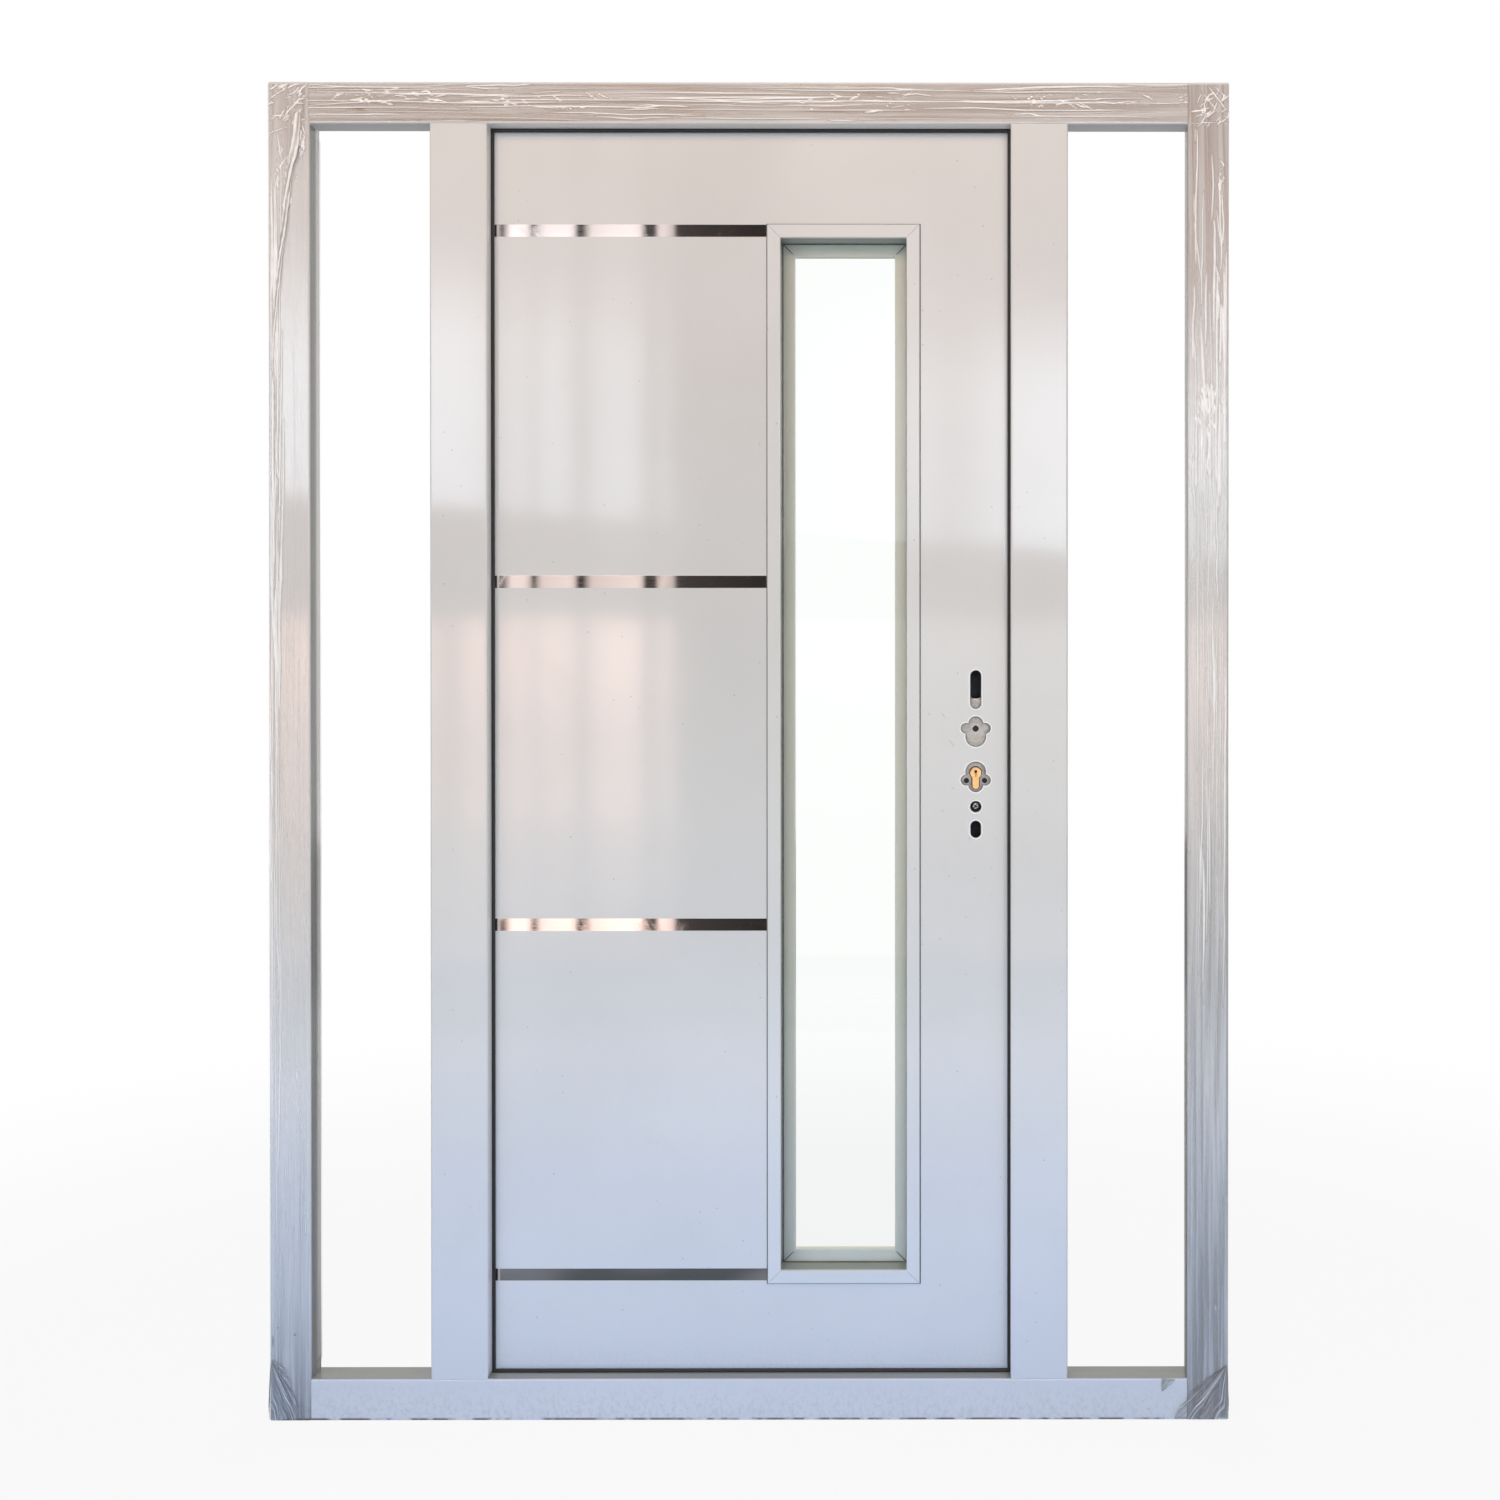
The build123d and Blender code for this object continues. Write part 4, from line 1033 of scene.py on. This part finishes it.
lock = {
    "x": 0.348, "cylinderLevel": 0.9915, "clovers": ((1.048, 1), (0.993, -1)),
    "clover": ((0, 0, 0.016), (0, 0.020, 0.0113), (-0.015, 0.0127, 0.0083), (0.015, 0.0127, 0.0083)),
    "slots": ((1.121, 0.0175, 0.060), (0.904, 0.017, 0.027)), "screwLevel": 0.939, "holeRadius": 0.009,
    "screwRadius": 0.0062, "screwTall": 0.0026, "screwShadeRadius": 0.0088, "rimWide": 0.0022,
    "rimTall": 0.0007, "edgeWide": 0.0013, "edgeTall": 0.0005, "edgeDepth": 0.0011,
    "gap": 0.0015, "keyLevel": 0.9937, "followerLevel": 1.060, "fixingLevel": 0.979,
    "fixingSpacing": 0.028, "holeShadeRise": 0.0004,
    "pads": (("slotPadTop", 1.1315, 0.048), ("slotPadBottom", 0.903, 0.036))}
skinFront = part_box("leaf_outer_skin")[0][1]
caseFront, caseRear = (corner[1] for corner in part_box("lock_case"))
plugFront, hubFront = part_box("cylinder_plug")[0][1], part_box("follower_hub")[0][1]
outlines = [cloverOutline(*row) for row in lock["clovers"]] + [slotOutline(*row) for row in lock["slots"]]
outlines.append(slotOutline(lock["screwLevel"], 2 * lock["holeRadius"], 2 * lock["holeRadius"]))
# Round each cut-out: a whiter bead, a painted highlight on its edge, and a grey bead just inside, painted
# shadow on the cut edge.
for number, outline in enumerate(outlines, 1):
    way = outwardOf(outline)
    rim = beadPoints(outline, way, lock["rimWide"] / 2, lock["rimWide"], lock["rimTall"], skinFront)
    placeClosed(f"cutoutRim{number}", rim, paint["whiteRimHighlight"], "leaf", ring=True)
    edge = beadPoints(outline, way, -0.0002, lock["edgeWide"], lock["edgeTall"],
                      skinFront + lock["edgeDepth"])
    placeClosed(f"cutoutShadow{number}", edge, paint["cutEdgeShadow"], "leaf", ring=True)


def blackDome(name, outline, x, level, y, tall, thick, body="leaf"):
    points = domePoints(outline, (x, level), y, tall, thick)
    placeClosed(name, points, paint["blackShadeAndJoint"], body)


# Painted shadow in the gap round the cylinder on the case, and painted shade over its keyway's top.
x, level = lock["x"], lock["keyLevel"]
blackDome("cylinderGapShadow", keyholeOutline(lock["gap"]), x, lock["cylinderLevel"], caseFront, 0.0005, 0.0005)
keyway = slotOutline(level, 0.0046, 0.0052, 40)
blackDome("keywayShade", keyway, x, level, plugFront, 0.0002, 0.0006, "plug")

level = lock["screwLevel"]
screw = screwPoints(x, caseFront - 0.0002, level, lock["screwRadius"], lock["screwTall"])
placeClosed("cylinderScrewHead", screw, paint["platedSteel"], "leaf")
# A black disc round the screw is painted shade in its hole.
screwShade = slotOutline(level, 2 * lock["screwShadeRadius"], 2 * lock["screwShadeRadius"])
blackDome("cylinderScrewShade", screwShade, x, level, caseFront, 0.0006, 0.0006)

# Painted shade: black pads behind the two slots, and thin black discs in the holes for the
# handles' bar and screws, stand for the dark hollows inside the leaf. Black pads close the leaf
# behind the two slots, and thin webs close the holes for the handles' bar and screws until they
# are fitted.
for name, level, tall in lock["pads"]:
    blackDome(name, slotOutline(level, 0.030, tall), x, level, caseRear - 0.001, 0.0012, 0.003)
for name, body, aside, level, radius, front in (
        ("followerWeb", "follower", 0, lock["followerLevel"], 0.0049, hubFront),
        ("fixingWebLeft", "leaf", -0.5, lock["fixingLevel"], 0.0041, caseFront),
        ("fixingWebRight", "leaf", 0.5, lock["fixingLevel"], 0.0041, caseFront)):
    aside *= lock["fixingSpacing"]
    holeShade = slotOutline(level, 2 * radius, 2 * radius, 40) + [aside, 0]
    blackDome(name, holeShade, x + aside, level, front - 0.0001, lock["holeShadeRise"], 0.0010, body)

# Screws of the hinges' wings, on the inner side.
hingeWing = {
    "levels": {"bottom": 0.250, "middle": 1.025, "top": 1.800}, "radius": 0.0042, "tall": 0.0014,
    "frame": {"rise": (-0.045, 0.0, 0.045), "in": 0.016, "y": 0.043, "turn": 9},
    "leaf": {"rise": (-0.016, 0.016), "in": -0.014, "over": 0.003, "turn": 7}}
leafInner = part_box("leaf_inner_skin")[1][1] + hingeWing["leaf"]["over"]
for side, corner, y in (("frame", 0, hingeWing["frame"]["y"]), ("leaf", 1, leafInner)):
    v, heads = hingeWing[side], []
    for name, level in hingeWing["levels"].items():
        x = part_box(f"{side}_hinge_{name}")[corner][0] + v["in"]
        for rise in v["rise"]:
            heads.append(screwPoints(x, y, level + rise, hingeWing["radius"], hingeWing["tall"],
                                     rise * v["turn"], toward=1)[:, ::-1])
    placeClosed("hingeScrews" + side.capitalize(), np.array(heads), paint["platedSteel"], side)

# Round the visor: a black gasket where the pane meets its liner, a thin dark line at the trim's
# outer edge that is painted shadow, and dark hairlines at the mitres.
visor = {"x": (0.0250, 0.2610), "z": (0.1990, 1.8410), "liner": 0.0205, "gasket": 0.0013,
         "trimShadowWide": 0.0016, "lipOver": 0.0015, "lipWide": 0.0185}


def rectangle(inset):
    (x0, x1), (z0, z1) = visor["x"], visor["z"]
    corners = np.array([(1, 1), (-1, 1), (-1, -1), (1, -1)], float)
    spots = np.where(corners > 0, (x1 - inset, z1 - inset), (x0 + inset, z0 + inset))
    return spots, corners


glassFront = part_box("visor_glass")[0][1]
for name, inset, out, wide, tall, y in (
        ("visorGasket", visor["liner"], -visor["gasket"] / 2, visor["gasket"], 0.0012, glassFront),
        ("visorSealant", 0.0, visor["trimShadowWide"] / 2, visor["trimShadowWide"], 0.0009, skinFront)):
    bead = placeClosed(name, beadPoints(*rectangle(inset), out, wide, tall, y), paint["darkJointAndShadow"],
                       "leaf", ring=True)
    bead.data.polygons.foreach_set("use_smooth", np.zeros(len(bead.data.polygons), bool))


# A hairline between two points in a plane of equal y: a bead along it that thins out at its ends.
def hairline(start, end, wide, tall, y, rows=24, around=8, bow=0.0):
    share = np.linspace(0, 1, rows)[:, None]
    line = np.array(start) + (np.array(end) - start) * share
    way = (np.array(end, float) - start)[::-1] * (1, -1)
    way /= np.linalg.norm(way)
    line = line + way * bow * np.sin(np.pi * share)
    size = np.sin(np.pi * share) ** 0.25
    angle = turns(around)[None]
    flat = line[:, None] + way * (wide / 2 * size * np.cos(angle))[..., None]
    return np.stack([flat[..., 0], y - tall * size * np.sin(angle), flat[..., 1]], -1)


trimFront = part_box("visor_trim_left")[0][1]
outer, _ = rectangle(0.0005)
inner, _ = rectangle(visor["liner"])
lip, _ = rectangle(visor["liner"] - visor["lipOver"] + visor["lipWide"])
mitres = [hairline(a, b, 0.0004, 0.00010, trimFront) for a, b in zip(outer, inner)]
lipMitres = [hairline(a, b, 0.0012, 0.0004, glassFront - 0.0001) for a, b in zip(inner, lip)]
placeClosed("trimMitres", np.array(mitres), paint["darkJointAndShadow"], "leaf")
placeClosed("lipMitres", np.array(lipMitres), paint["blackShadeAndJoint"], "leaf")

# Scuffs on the enamel beside the lock, each a faint hairline from (x, z) to (x, z) with a bow.
scuffs = {
    "lines": [((0.2745, 1.0855), (0.2775, 1.081), 0.0006), ((0.296, 1.085), (0.301, 1.077), 0.0008),
        ((0.307, 1.043), (0.3145, 1.035), 0.001), ((0.311, 1.033), (0.315, 1.034), 0.0003),
        ((0.311, 0.97), (0.3155, 0.966), 0.0008), ((0.296, 0.936), (0.2985, 0.931), 0.0006),
        ((0.3355, 0.892), (0.3385, 0.886), -0.0016), ((0.38, 0.89), (0.3806, 0.8885), 0.0)],
    "wide": 0.0006, "tall": 0.00008}
marks = [hairline(a, b, scuffs["wide"], scuffs["tall"], skinFront, bow=bow)
         for a, b, bow in scuffs["lines"]]
placeClosed("scuffMarks", np.array(marks), paint["rubbedGrey"], "leaf")
print("small pieces made")
